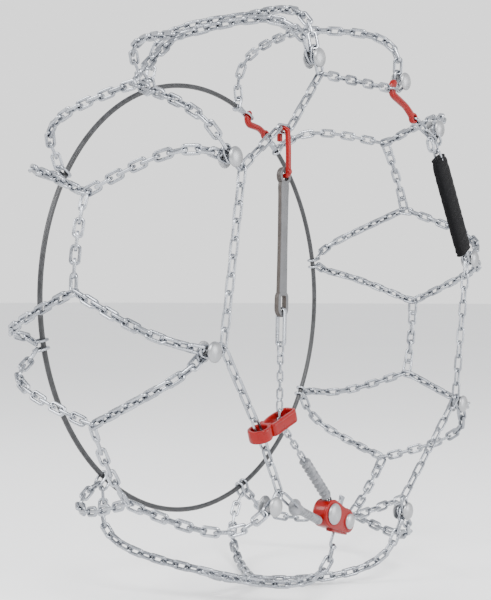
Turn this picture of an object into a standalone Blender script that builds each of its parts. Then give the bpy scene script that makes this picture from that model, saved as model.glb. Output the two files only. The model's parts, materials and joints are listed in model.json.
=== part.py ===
"""A diamond-pattern tyre snow chain in its fitted shape.

The wheel centre is the origin, the axle lies along Y and the wheel's outer face looks towards -Y.
The tyre itself is not part of the model: the chain keeps the shape that the tyre gives it.
All lengths are in metres and all angles in degrees, counted from +X towards +Z.
"""
from math import acos, atan2, cos, degrees, hypot, pi, radians, sin, sqrt

import bmesh
import bpy
from mathutils import Vector

# The tyre that the set is made for
TYRE_RADIUS = 0.316
TYRE_HALF_WIDTH = 0.110
SHOULDER_HEIGHT = 0.054
SHOULDER_POWER = 3.9

# Chains: each run is one plain bar as wide and deep as its links are over all
CROSS_HALF = 0.0055
CROSS_CLEARANCE = 0.001
SIDE_HALF_WIDTH = 0.0050
SIDE_HALF_DEPTH = 0.0045
TENSION_HALF = 0.0038
LINK_WIRE = 0.0036
EYE_WALL = 0.0021
GAP = 0.00035

# Corner discs: a back plate, a rivet and a domed front cap that hold the flat link ends between them
CORNER_INSET = 0.050
CORNER_ANGLES = {1: 109.0, 2: 149.5, 3: 191.1, 4: 231.9, 5: 291.1, 6: 330.2, 7: 10.6, 8: 50.0, 9: 70.2}
RIVET_RADIUS = 0.0030
PLATE_RADIUS = 0.0105
PLATE_THICKNESS = 0.0015
CAP_RADIUS = 0.01025
CAP_RIM = 0.0010
CAP_CROWN = 0.0038
SEAT_GAP = 0.0005
VERTEX_CLEARANCE = 0.0015

# Tread: eight runs along the centre line, each between the corners named here
TREAD_RUNS = ((1, 2), (2, 3), (3, 4), (4, 5), (5, 6), (6, 7), (7, 8), (9, 1))
TREAD_HALF_SPAN = 8.65
LOCK_RUN_SHIFT = -7.0

# Inner hoop: a sleeved steel cable, closed by a small hook
HOOP_INSET = 0.060
HOOP_CABLE_RADIUS = 0.0030
HOOP_STANDOFF = 0.0070
HOOP_SPREAD = 0.0045
HOOP_HOOK_ANGLE = 60.0
HOOP_HOOK_REACH = 0.034

# Flat hooks that swing on one link and hold another
HOOK_HALF_THICKNESS = 0.0030
HOOK_BAR_HALF = 0.0036
HOOK_EYE_WALL = 0.0032
HOOK_BULB_HALF = 0.0048
HOOK_ARM_DROP = 0.0080
CLOSING_CATCH = (-0.0170, 0.0125)
CLOSING_PIVOT = (-0.0300, -0.0345)

# Tensioner: hook, rubber strap, pull link, two lengths of fine chain and a guide
TENSION_HOOK_INSET = 0.0943
TENSION_HOOK_ANGLE = 131.4
TENSION_HOOK_DROP = 0.0433
TENSION_HOOK_HALF = 0.0022
CHAIN_PINCH_HALF = 0.0018
CHAIN_PINCH_LENGTH = 0.0150
STRAP_LENGTH = 0.1250
STRAP_HALF_WIDTH = 0.0065
STRAP_HALF_THICKNESS = 0.0030
STRAP_EYE_RADIUS = 0.0092
PULL_LINK_LENGTH = 0.0400
PULL_LINK_HALF_WIDTH = 0.0026
GUIDE_INSET = 0.0861
GUIDE_ANGLE = 215.8
GUIDE_TILT = 18.5
GUIDE_HEIGHT = 0.0130
GUIDE_WALL = 0.0038
GUIDE_LOOP_LENGTH = 0.0435
GUIDE_PASSAGE = 0.0340
GUIDE_DEPTH = 0.0205
GUIDE_SWAY_ROOM = 0.0028
PULL_OPENING = 0.0015
CHAIN_END = 0.002

# Lock: tray, cover, chain roller and release lever
LOCK_INSET = 0.0777
LOCK_ANGLE = 253.9
LOCK_RIVET_OFFSET = (0.030, -0.012)
LEVER_PIN_OFFSET = (0.0215, -0.0028)
LOCK_ROUND_LEFT = 0.0150
LOCK_ROUND_RIGHT = 0.0130
LOCK_WALL = 0.0025
LOCK_DEPTH = 0.0140
COVER_THICKNESS = 0.0030
ROLLER_RADIUS = 0.0065
ROLLER_SHAFT = 0.0025
ROLLER_CAP_RADIUS = 0.0112
ROLLER_CAP_HEIGHT = 0.0046
RIVET_HEAD_RADIUS = 0.0082
RIVET_HEAD_HEIGHT = 0.0038
LEVER_HALF_WIDTH = 0.0030
LEVER_HALF_THICKNESS = 0.0015
LEVER_PIN_RADIUS = 0.0020
LEVER_REACH = 0.0195
LEVER_LEAN = 25.0
LEVER_SWING_ROOM = 0.0035

# Sleeves over the chains
BEAD_SLEEVE_RADIUS = 0.0060
BEAD_SLEEVE_LENGTH = 0.0600
RETURN_SLEEVE_RADIUS = 0.0046
RETURN_BALL_RADIUS = 0.0088
RETURN_BALL_HALF_DEPTH = 0.0046
RETURN_INSET = 0.0665
RETURN_ANGLE = 239.4
RETURN_AIM = (-0.0107, -0.0085)
LABEL_LENGTH = 0.129
LABEL_START = 0.014
LABEL_HALF_WIDTH = 0.0150
LABEL_HALF_DEPTH = 0.0066

# Corner stack: y of the back plate's seat, of its front, and of the three link levels in front of it
SEAT_Y = -(TYRE_HALF_WIDTH + SEAT_GAP)
STACK_Y = SEAT_Y - PLATE_THICKNESS
LEVEL_STEP = LINK_WIRE + GAP
LEVEL_Y = [STACK_Y - GAP - LINK_WIRE / 2 - level * LEVEL_STEP for level in range(3)]
STACK_FRONT_Y = LEVEL_Y[2] - LINK_WIRE / 2 - GAP
SIDE_Y = LEVEL_Y[2]

CORNER_RADIUS = TYRE_RADIUS - CORNER_INSET
VERTEX_RADIUS = CORNER_RADIUS - CAP_RADIUS - SIDE_HALF_WIDTH - VERTEX_CLEARANCE
EYE_HALF = RIVET_RADIUS + GAP + EYE_WALL
CHAIN_LIFT = CROSS_HALF + CROSS_CLEARANCE
HOOP_RADIUS = TYRE_RADIUS - HOOP_INSET
HOOP_Y = TYRE_HALF_WIDTH + HOOP_STANDOFF
TONGUE = 0.020  # length of a strand's flat end, long enough for two strands to pass each other

OUT = Vector((0.0, -1.0, 0.0))
IN = Vector((0.0, 1.0, 0.0))

CHAIN_SECTION = ((1, 0), (0.7, 1), (-0.7, 1), (-1, 0), (-0.7, -1), (0.7, -1))
BAR_SECTION = ((1, 0.5), (0.6, 1), (-0.6, 1), (-1, 0.5), (-1, -0.5), (-0.6, -1), (0.6, -1), (1, -0.5))
ROUND_SECTION = [(cos(pi / 4 * (k + 0.5)) / cos(pi / 8), sin(pi / 4 * (k + 0.5)) / cos(pi / 8))
                 for k in range(8)]


# ---- small geometry helpers

def polar(radius, angle, y=0.0):
    return Vector((radius * cos(radians(angle)), y, radius * sin(radians(angle))))


def turn(start, end):
    """Signed angle from start to end the short way round."""
    return (end - start + 180.0) % 360.0 - 180.0


def at_depth(point, y):
    return Vector((point.x, y, point.z))


def local_point(angle, radial, along, y):
    """A point beside the corner rivet at this angle: radial is outwards, along follows the angle."""
    base = polar(CORNER_RADIUS + radial, angle, y)
    return base + polar(along, angle + 90.0)


def clear_of_bend(half, other_half, meeting_angle):
    """How far short of a neighbour's bend a run of this half width must stop."""
    slope = radians(max(35.0, min(145.0, meeting_angle)))
    return (other_half + GAP + half * abs(cos(slope))) / sin(slope)


def angle_between(first, second):
    cosine = first.normalized().dot(second.normalized())
    return degrees(acos(max(-1.0, min(1.0, cosine))))


# ---- objects and meshes

def clear_scene():
    for old in list(bpy.data.objects):
        bpy.data.objects.remove(old, do_unlink=True)


def make_material(name, colour, roughness, metallic):
    material = bpy.data.materials.new(name)
    material.use_nodes = True
    shader = material.node_tree.nodes["Principled BSDF"]
    shader.inputs["Base Color"].default_value = (*colour, 1.0)
    shader.inputs["Roughness"].default_value = roughness
    shader.inputs["Metallic"].default_value = metallic
    return material


def add_object(name, mesh_data, material, origin):
    """Make an object from a bmesh in world coordinates, with its own origin at the given point."""
    bmesh.ops.recalc_face_normals(mesh_data, faces=mesh_data.faces)
    bmesh.ops.translate(mesh_data, verts=mesh_data.verts, vec=-origin)
    mesh = bpy.data.meshes.new(name)
    mesh_data.to_mesh(mesh)
    mesh_data.free()
    mesh.shade_smooth()
    mesh.set_sharp_from_angle(angle=radians(35.0))
    piece = bpy.data.objects.new(name, mesh)
    piece.location = origin
    bpy.context.scene.collection.objects.link(piece)
    if material is not None:
        mesh.materials.append(material)
    return piece


def sweep(name, stations, material, section=CHAIN_SECTION, origin=Vector()):
    """A closed bar through stations of (point, normal, half width, half depth)."""
    mesh_data = bmesh.new()
    points = [station[0] for station in stations]
    steps = [(b - a).normalized() for a, b in zip(points, points[1:])]
    rings = []
    for index, (point, normal, half_width, half_depth) in enumerate(stations):
        before = steps[max(index - 1, 0)]
        after = steps[min(index, len(steps) - 1)]
        along = (before + after).normalized()
        up = (normal - along * normal.dot(along)).normalized()
        side = along.cross(up)
        rings.append([mesh_data.verts.new(point + side * half_width * u + up * half_depth * v)
                      for u, v in section])
    count = len(section)
    for lower, upper in zip(rings, rings[1:]):
        for k in range(count):
            mesh_data.faces.new((lower[k], lower[(k + 1) % count], upper[(k + 1) % count], upper[k]))
    mesh_data.faces.new(rings[0])
    mesh_data.faces.new(list(reversed(rings[-1])))
    return add_object(name, mesh_data, material, origin)


def turned(name, centre, profile, material, segments=16, origin=Vector()):
    """A body turned about a line parallel to Y; profile is (radius, y) from axis to axis."""
    mesh_data = bmesh.new()
    rows = []
    for radius, y in profile:
        if radius < 1e-6:
            rows.append([mesh_data.verts.new((centre.x, y, centre.z))])
            continue
        rows.append([mesh_data.verts.new((centre.x + radius * cos(2 * pi * k / segments), y,
                                          centre.z + radius * sin(2 * pi * k / segments)))
                     for k in range(segments)])
    for lower, upper in zip(rows, rows[1:]):
        for k in range(segments):
            low = [lower[k % len(lower)], lower[(k + 1) % len(lower)]]
            high = [upper[(k + 1) % len(upper)], upper[k % len(upper)]]
            corners = list(dict.fromkeys(low + high))
            mesh_data.faces.new(corners)
    return add_object(name, mesh_data, material, origin)


def prism(name, outline, reach, material, origin=Vector()):
    """A flat outline pushed along the vector reach."""
    mesh_data = bmesh.new()
    near = [mesh_data.verts.new(point) for point in outline]
    far = [mesh_data.verts.new(point + reach) for point in outline]
    count = len(outline)
    for k in range(count):
        mesh_data.faces.new((near[k], near[(k + 1) % count], far[(k + 1) % count], far[k]))
    mesh_data.faces.new(near)
    mesh_data.faces.new(list(reversed(far)))
    return add_object(name, mesh_data, material, origin)


def as_tool(tool):
    tool.hide_render = True
    tool.display_type = 'WIRE'
    return tool


def cut(piece, tool):
    apply_tool(piece, tool, 'DIFFERENCE')


def join(piece, tool):
    apply_tool(piece, tool, 'UNION')


def apply_tool(piece, tool, operation):
    modifier = piece.modifiers.new(operation.lower() + "_" + tool.name, 'BOOLEAN')
    modifier.operation = operation
    modifier.solver = 'EXACT'
    modifier.object = tool


def circle(centre, radius, first, second, segments):
    """Points of a circle in the plane of two unit vectors."""
    return [centre + first * radius * cos(2 * pi * k / segments)
            + second * radius * sin(2 * pi * k / segments) for k in range(segments)]


def rod_tool(name, start, end, radius, segments=16):
    along = (end - start).normalized()
    first = along.orthogonal().normalized()
    if abs(along.y) > 0.99:
        first = Vector((1.0, 0.0, 0.0))
    outline = circle(start, radius, first, along.cross(first), segments)
    return as_tool(prism(name, outline, end - start, None))


def box_tool(name, start, end, across, half_across, deep, half_deep):
    """A box from start to end, with its half sizes along two unit vectors."""
    corners = [start + across * half_across * u + deep * half_deep * v
               for u, v in ((1, 1), (-1, 1), (-1, -1), (1, -1))]
    return as_tool(prism(name, corners, end - start, None))


def two_circle_outline(left, left_radius, right, right_radius, y, arc_steps=7):
    """Outline round two circles joined by their outer tangents, in a plane of constant y."""
    line = right - left
    heading = atan2(line.z, line.x)
    spread = acos((left_radius - right_radius) / hypot(line.x, line.z))
    points = []
    for centre, radius, start, end in ((left, left_radius, spread, 2 * pi - spread),
                                       (right, right_radius, -spread, spread)):
        for k in range(arc_steps + 1):
            angle = heading + start + (end - start) * k / arc_steps
            points.append(Vector((centre.x + radius * cos(angle), y, centre.z + radius * sin(angle))))
    return points


# ---- ends of chains

def rounded_end(centre, along, normal, half_width, half_depth):
    """The stations from an eye's centre to its round end."""
    wide = half_width > half_depth
    reach = max(half_width, half_depth)
    stations = []
    for travel, share in ((0.0, 1.0), (0.60, 0.80), (0.95, 0.35)):
        stations.append((centre + along * reach * travel, normal,
                         half_width * (share if wide else 1.0),
                         half_depth * (1.0 if wide else share)))
    return stations


def flat_eye(centre, along, normal, lead):
    """A flat link end lying in the plane of the sidewall, to be bored for a rivet."""
    start = centre - along * lead
    return [(start, normal, EYE_HALF, LINK_WIRE / 2)] + rounded_end(centre, along, normal, EYE_HALF,
                                                                  LINK_WIRE / 2)


def slot_stations(tip, along, opening_half, slot_length):
    """A link end standing on edge, to be slotted so that a hook or an eye can pass through it."""
    depth = opening_half + LINK_WIRE * 0.6
    start = tip - along * (slot_length + LINK_WIRE * 1.6)
    return [(start, OUT, LINK_WIRE / 2, depth),
            (tip + along * LINK_WIRE * 0.1, OUT, LINK_WIRE / 2, depth),
            (tip + along * LINK_WIRE * 0.5, OUT, LINK_WIRE / 2, depth * 0.75)]


def slot_tool(name, tip, along, opening_half, slot_length):
    across = along.cross(OUT).normalized()
    start = tip - along * (LINK_WIRE / 2 + slot_length) - across * LINK_WIRE
    middle = start + along * slot_length / 2
    return box_tool(name, middle, middle + across * 2 * LINK_WIRE, along, slot_length / 2,
                    OUT, opening_half)


# ---- the tyre's profile, lifted by the chain

def lifted_profile():
    """Points (arc length, radius, y, normal's radial share, normal's y share) from tread to sidewall."""
    half_width = TYRE_HALF_WIDTH + CHAIN_LIFT
    height = SHOULDER_HEIGHT + CHAIN_LIFT
    base = TYRE_RADIUS - SHOULDER_HEIGHT
    power = SHOULDER_POWER
    rows = []
    steps = 240
    for k in range(steps + 1):
        angle = pi / 2 * k / steps
        across = sin(angle) ** (2 / power)
        up = max(cos(angle), 0.0) ** (2 / power)
        radial = up ** (power - 1) / height
        sideways = across ** (power - 1) / half_width
        size = hypot(radial, sideways)
        rows.append((base + height * up, half_width * across, radial / size, sideways / size))
    rows.append((base - 2 * TONGUE, half_width, 0.0, 1.0))
    profile = []
    arc = 0.0
    for index, row in enumerate(rows):
        if index:
            arc += hypot(row[0] - rows[index - 1][0], row[1] - rows[index - 1][1])
        profile.append((arc, *row))
    return profile


PROFILE = lifted_profile()


def profile_at_arc(arc):
    for first, second in zip(PROFILE, PROFILE[1:]):
        if second[0] >= arc:
            share = (arc - first[0]) / (second[0] - first[0])
            return [a + (b - a) * share for a, b in zip(first, second)]
    return PROFILE[-1]


def arc_at_radius(radius):
    for first, second in zip(PROFILE, PROFILE[1:]):
        if second[1] <= radius < first[1]:
            share = (first[1] - radius) / (first[1] - second[1])
            return first[0] + (second[0] - first[0]) * share
    return PROFILE[-1][0]


def diagonal(tread_angle, end_angle, end_radius, side, shares):
    """Stations of a diagonal over the shoulder; side is -1 for the outer half, 1 for the inner."""
    arc_end = arc_at_radius(end_radius + TONGUE)
    swing = turn(tread_angle, end_angle)
    total = arc_end + TONGUE
    stations = []
    for share in shares:
        _, radius, across, radial, sideways = profile_at_arc(arc_end * share)
        angle = tread_angle + swing * arc_end * share / total
        normal = polar(radial, angle) + Vector((0.0, side * sideways, 0.0))
        stations.append((polar(radius, angle, side * across), normal, CROSS_HALF, CROSS_HALF))
    return stations


# ---- cross chains and tread runs

DIAGONAL_SHARES = (0.34, 0.60, 0.76, 0.90, 1.0)


def outer_end(stations, centre):
    """Flat end of a strand, with its eye at centre."""
    along = centre - at_depth(stations[-1][0], centre.y)
    lead = along.length - 0.003
    along.normalize()
    return flat_eye(centre, along, OUT, lead)


def inner_end(angle):
    """Flat end of a strand on edge, to be bored for the hoop's cable."""
    along = -polar(1.0, angle)
    half_depth = HOOP_CABLE_RADIUS + GAP + EYE_WALL
    centre = polar(HOOP_RADIUS, angle, HOOP_Y)
    start = centre - along * (TONGUE - 0.003)
    return [(start, IN, LINK_WIRE / 2, half_depth)] + rounded_end(centre, along, IN, LINK_WIRE / 2,
                                                                 half_depth)


def tread_ends(pair):
    first, second = (CORNER_ANGLES[number] for number in pair)
    middle = first + turn(first, second) / 2
    if pair == (4, 5):
        middle += LOCK_RUN_SHIFT
    return middle - TREAD_HALF_SPAN, middle + TREAD_HALF_SPAN


def cross_strand(number, tread_angle, corner, spread_sign, outer_centre, tools, steel):
    """One strand: corner rivet, over the tread, and on to the inner hoop."""
    outer_angle = degrees(atan2(outer_centre.z, outer_centre.x))
    outer_radius = hypot(outer_centre.x, outer_centre.z)
    reach = max(outer_radius, CORNER_RADIUS)
    outer = diagonal(tread_angle, outer_angle, reach, -1, DIAGONAL_SHARES)
    spread = degrees(HOOP_SPREAD / HOOP_RADIUS)
    hoop_angle = CORNER_ANGLES[corner] + spread_sign * spread
    inner = diagonal(tread_angle, hoop_angle, HOOP_RADIUS, 1, DIAGONAL_SHARES)
    crown = diagonal(tread_angle, tread_angle, HOOP_RADIUS, 1, (0.0,))
    stations = list(reversed(outer + outer_end(outer, outer_centre)))
    stations += crown + inner + inner_end(hoop_angle)
    strand = sweep(f"cross_strand_{number:02d}", stations, steel)
    for tool in tools:
        cut(strand, tool)
    return strand


def run_setback(tread_angle, end_angles, sign):
    """Arc between a strand and the end of its tread run; a half that leans over the run needs more."""
    radius = TYRE_RADIUS + CHAIN_LIFT
    length = arc_at_radius(CORNER_RADIUS)
    lean = max(0.0, *(radians(turn(tread_angle, end) * sign) * radius / length for end in end_angles))
    slope = atan2(lean, 1.0)
    return (CROSS_HALF + GAP + CROSS_HALF * sin(slope)) / cos(slope)


def tread_run(number, angles, end_angles, steel):
    """The short run along the tread's centre line, between two strands."""
    radius = TYRE_RADIUS + CHAIN_LIFT
    start = angles[0] + degrees(run_setback(angles[0], end_angles[0], 1) / radius)
    end = angles[1] - degrees(run_setback(angles[1], end_angles[1], -1) / radius)
    stations = []
    for k in range(5):
        angle = start + (end - start) * k / 4
        stations.append((polar(radius, angle), polar(1.0, angle), CROSS_HALF, CROSS_HALF))
    return sweep(f"tread_run_{number}", stations, steel)


# ---- corner discs and side chains

def corner_centre(number, y=SIDE_Y):
    return polar(CORNER_RADIUS, CORNER_ANGLES[number], y)


def vertex(number):
    return polar(VERTEX_RADIUS, CORNER_ANGLES[number], SIDE_Y)


def domed_cap(radius, back_y, rim, crown):
    """Profile of a domed cap from its rim to its crown, towards -Y."""
    rows = [(radius, back_y), (radius, back_y - rim)]
    for angle in (35.0, 65.0, 90.0):
        rows.append((radius * cos(radians(angle)), back_y - rim - crown * sin(radians(angle))))
    return rows


def corner_disc(number, steel):
    centre = corner_centre(number)
    profile = [(0.0, SEAT_Y), (PLATE_RADIUS, SEAT_Y), (PLATE_RADIUS, STACK_Y), (RIVET_RADIUS, STACK_Y),
               (RIVET_RADIUS, STACK_FRONT_Y)]
    profile += domed_cap(CAP_RADIUS, STACK_FRONT_Y, CAP_RIM, CAP_CROWN)
    return turned(f"corner_disc_{number}", centre, profile, steel,
                  origin=at_depth(centre, SEAT_Y))


def side_station(point, pinched=False):
    if pinched:
        return (point, OUT, CHAIN_PINCH_HALF, CHAIN_PINCH_HALF)
    return (point, OUT, SIDE_HALF_WIDTH, SIDE_HALF_DEPTH)


def stub(number):
    """Stations from a corner's rivet to the vertex of the side chain that starts there."""
    centre = corner_centre(number)
    along = (centre - vertex(number)).normalized()
    lead = CAP_RADIUS + 0.001
    return list(reversed(flat_eye(centre, along, OUT, lead)))


def run_stop(previous, number):
    """Where a side chain that comes from previous stops, short of the bend at the corner's vertex."""
    target = vertex(number)
    heading = target - previous
    meeting = angle_between(-heading, corner_centre(number) - target)
    setback = clear_of_bend(SIDE_HALF_WIDTH, SIDE_HALF_WIDTH, meeting)
    return target - heading.normalized() * setback


def side_chain(name, stations, tools, steel):
    chain = sweep(name, stations, steel)
    for tool in tools:
        cut(chain, tool)
    return chain


# ---- flat hooks

def latch_hook(name, pivot, catch, outward, material, arm_drop):
    """A flat hook with an eye at pivot, whose crook holds the wire at catch and opens outwards."""
    forward = catch - pivot
    reach = forward.length
    forward.normalize()
    side = (outward - forward * outward.dot(forward)).normalized()
    eye_hole = LINK_WIRE * 0.75 + GAP
    eye = eye_hole + HOOK_EYE_WALL
    bulb = reach + LINK_WIRE * 0.70 + GAP + HOOK_BULB_HALF
    route = ((-0.95 * eye, 0.0, 0.35 * eye), (-0.60 * eye, 0.0, 0.80 * eye), (0.0, 0.0, eye),
             (0.22 * reach, 0.0, HOOK_BAR_HALF), (0.45 * reach, -0.05 * arm_drop, HOOK_BAR_HALF),
             (0.72 * reach, -0.45 * arm_drop, HOOK_BAR_HALF), (reach, -arm_drop, HOOK_BAR_HALF),
             (bulb - 0.0015, -0.60 * arm_drop, HOOK_BAR_HALF), (bulb, 0.0, HOOK_BULB_HALF),
             (bulb - 0.0002, 0.0035, HOOK_BULB_HALF * 0.8), (bulb - 0.0004, 0.0055, HOOK_BULB_HALF * 0.3))
    stations = [(pivot + forward * u + side * v, OUT, half, HOOK_HALF_THICKNESS) for u, v, half in route]
    hook = sweep(name, stations, material, BAR_SECTION, origin=pivot)
    hole = rod_tool(name + "_bore", pivot - OUT * 0.01, pivot + OUT * 0.01, eye_hole, 12)
    cut(hook, hole)
    return hook


def hook_slot_length():
    return LINK_WIRE * 0.75 + GAP + HOOK_EYE_WALL + 0.0015


def build():
    clear_scene()
    steel = make_material("chain_steel", (0.62, 0.64, 0.67), 0.28, 1.0)
    zinc = make_material("disc_steel", (0.70, 0.71, 0.72), 0.38, 0.9)
    red = make_material("red_plastic", (0.62, 0.02, 0.01), 0.35, 0.0)
    rubber = make_material("strap_rubber", (0.20, 0.18, 0.18), 0.62, 0.0)
    grey = make_material("sleeve_plastic", (0.32, 0.33, 0.35), 0.50, 0.0)
    black = make_material("label_sleeve", (0.015, 0.015, 0.018), 0.50, 0.0)
    cable = make_material("hoop_cable", (0.05, 0.05, 0.055), 0.45, 0.0)

    slot_half = HOOK_HALF_THICKNESS + GAP

    # Tools that bore every link end: one rod for each rivet and one ring for the hoop
    bores = {number: rod_tool(f"bore_{number}", corner_centre(number, STACK_Y + 0.0002),
                              corner_centre(number, STACK_FRONT_Y - 0.0002), RIVET_RADIUS + GAP)
             for number in CORNER_ANGLES}
    hoop_bore = as_tool(sweep("hoop_bore", hoop_stations(HOOP_CABLE_RADIUS + GAP), None, ROUND_SECTION))

    # Places of the lock
    roller = polar(TYRE_RADIUS - LOCK_INSET, LOCK_ANGLE, SEAT_Y)
    rivet = roller + Vector((LOCK_RIVET_OFFSET[0], 0.0, LOCK_RIVET_OFFSET[1]))
    lever_pin = roller + Vector((LEVER_PIN_OFFSET[0], 0.0, LEVER_PIN_OFFSET[1]))
    tray_floor_y = SEAT_Y - 0.0015 - LOCK_WALL
    tray_front_y = SEAT_Y - 0.0015 - LOCK_DEPTH
    rivet_bore = rod_tool("lock_rivet_bore", at_depth(rivet, tray_floor_y + 0.0002),
                          at_depth(rivet, tray_front_y - 0.001), RIVET_RADIUS + GAP)

    # Cross strands and tread runs
    for index, pair in enumerate(TREAD_RUNS):
        angles = tread_ends(pair)
        end_angles = []
        for end in range(2):
            corner = pair[end]
            outer_centre, tool = corner_centre(corner, LEVEL_Y[end]), bores[corner]
            if pair == (4, 5) and end == 0:
                outer_centre, tool = at_depth(rivet, tray_floor_y - GAP - LINK_WIRE / 2), rivet_bore
            cross_strand(2 * index + end + 1, angles[end], corner, 1 - 2 * end, outer_centre,
                         (tool, hoop_bore), steel)
            end_angles.append((degrees(atan2(outer_centre.z, outer_centre.x)), CORNER_ANGLES[corner]))
        tread_run(index + 1, angles, end_angles, steel)

    for number in CORNER_ANGLES:
        corner_disc(number, zinc)

    # Side chains between the corners
    hook_point = polar(TYRE_RADIUS - TENSION_HOOK_INSET, TENSION_HOOK_ANGLE, SIDE_Y)
    guide_point = polar(TYRE_RADIUS - GUIDE_INSET, GUIDE_ANGLE, SIDE_Y)
    pinch = Vector((CHAIN_PINCH_LENGTH / 2, 0.0, 0.0))
    blend = (vertex(1) - hook_point - pinch).normalized() * 0.008
    blend_left = (vertex(2) - hook_point + pinch).normalized() * 0.008
    side_chain("side_chain_1", stub(1) + [
        side_station(vertex(1)), side_station(hook_point + pinch + blend),
        side_station(hook_point + pinch, True), side_station(hook_point - pinch, True),
        side_station(hook_point - pinch + blend_left),
        side_station(run_stop(hook_point - pinch, 2))], (bores[1],), steel)
    side_chain("side_chain_3", stub(3) + [
        side_station(vertex(3)), side_station(guide_point),
        side_station(run_stop(guide_point, 4))], (bores[3],), steel)
    for start, end in ((2, 3), (5, 6), (6, 7), (7, 8)):
        side_chain(f"side_chain_{start}", stub(start) + [
            side_station(vertex(start)), side_station(run_stop(vertex(start), end))],
            (bores[start],), steel)

    # Side chain from the lock to corner 5
    lock_link = at_depth(rivet, SIDE_Y)
    to_five = run_stop(lock_link, 5)
    heading = (to_five - lock_link).normalized()
    stations = list(reversed(flat_eye(lock_link, -heading, OUT, LOCK_ROUND_RIGHT + 0.002)))
    stations += [side_station(lock_link + heading * (LOCK_ROUND_RIGHT + 0.006)), side_station(to_five)]
    side_chain("side_chain_lock", stations, (rivet_bore,), steel)

    # Closing hook with the link ends on both sides of it
    closing_angle = CORNER_ANGLES[9]
    catch = local_point(closing_angle, CLOSING_CATCH[0], CLOSING_CATCH[1], SIDE_Y)
    pivot = local_point(closing_angle, CLOSING_PIVOT[0], CLOSING_PIVOT[1], SIDE_Y)
    outward = polar(1.0, closing_angle)
    latch_hook("closing_hook", pivot, catch, outward, red, HOOK_ARM_DROP)

    catch_slot = catch_slot_length()
    to_catch = (catch - vertex(1)).normalized()
    catch_tool = slot_tool("closing_catch_slot", catch, to_catch, slot_half, catch_slot)
    ends = slot_stations(catch, to_catch, slot_half, catch_slot)
    run_start = ends[0][0] - to_catch * 0.008
    run_end = run_stop(catch, 1)
    side_chain("side_chain_9", list(reversed([side_station(run_end), side_station(run_start)] + ends)),
               (catch_tool,), steel)

    eye_slot = hook_slot_length()
    to_pivot = (pivot - vertex(8)).normalized()
    pivot_tool = slot_tool("closing_pivot_slot", pivot, to_pivot, slot_half, eye_slot)
    ends = slot_stations(pivot, to_pivot, slot_half, eye_slot)
    side_chain("side_link_8", stub(8) + [side_station(vertex(8)),
                                         side_station(ends[0][0] - to_pivot * 0.006)] + ends,
               (bores[8], pivot_tool), steel)

    # Short link from corner 9 down to the closing link
    centre = corner_centre(9)
    link_heading = (catch - centre).normalized()
    link_end = catch - link_heading * (LINK_WIRE * 0.70 + GAP)
    stations = list(reversed(flat_eye(centre, -link_heading, OUT, CAP_RADIUS + 0.001)))
    stations += [(link_end - link_heading * 0.004, OUT, EYE_HALF * 0.85, LINK_WIRE / 2),
                 (link_end, OUT, EYE_HALF * 0.35, LINK_WIRE / 2)]
    side_chain("side_link_9", stations, (bores[9],), steel)

    # Return sleeve with its round end, and the short link that ties it to corner 4
    ball = polar(TYRE_RADIUS - RETURN_INSET, RETURN_ANGLE, SIDE_Y)
    ball_half = RETURN_BALL_HALF_DEPTH + GAP
    ball_slot = RETURN_BALL_RADIUS + 0.0015
    start = vertex(4)
    to_ball = (ball - start).normalized()
    ball_tool = slot_tool("return_slot", ball, to_ball, ball_half, ball_slot)
    ends = slot_stations(ball, to_ball, ball_half, ball_slot)
    side_chain("side_link_4", stub(4) + [side_station(start)] + ends, (bores[4], ball_tool), steel)

    sleeve_heading = at_depth(roller, SIDE_Y) + Vector((RETURN_AIM[0], 0.0, RETURN_AIM[1])) - ball
    far = lock_edge_distance(ball, sleeve_heading, roller, LOCK_ROUND_LEFT, RETURN_SLEEVE_RADIUS)
    sleeve_heading.normalize()
    route = ((-0.95, 0.35), (-0.60, 0.80), (0.0, 1.0), (0.60, 0.80))
    stations = [(ball + sleeve_heading * RETURN_BALL_RADIUS * along, OUT, RETURN_BALL_RADIUS * share,
                 RETURN_BALL_HALF_DEPTH) for along, share in route]
    stations += [(ball + sleeve_heading * along, OUT, RETURN_SLEEVE_RADIUS, RETURN_SLEEVE_RADIUS)
                 for along in (RETURN_BALL_RADIUS + 0.003, far - GAP)]
    return_sleeve = sweep("return_sleeve", stations, grey, BAR_SECTION)
    cut(return_sleeve, rod_tool("return_bore", ball - OUT * 0.01, ball + OUT * 0.01,
                                LINK_WIRE * 0.75 + GAP, 12))

    # Tension hook, strap, pull link and upper chain hang on one line towards the guide
    tilt = radians(GUIDE_TILT)
    guide_along = Vector((cos(tilt), 0.0, sin(tilt)))
    guide_axis = Vector((sin(tilt), 0.0, -cos(tilt)))
    passage = guide_point + guide_along * GUIDE_PASSAGE
    peg = hook_point - Vector((0.0, 0.0, TENSION_HOOK_DROP))
    down = (passage - peg).normalized()
    tension_hook(hook_point, peg, red)
    strap_low = tension_strap(peg, down, rubber)
    link_low = pull_link(strap_low, down, steel)
    chain_top = passage + (peg - passage).normalized() * 0.019
    upper_chain(link_low, down, chain_top - down * PULL_OPENING, steel)
    chain_guide(guide_point, guide_along, guide_axis, red)

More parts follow.
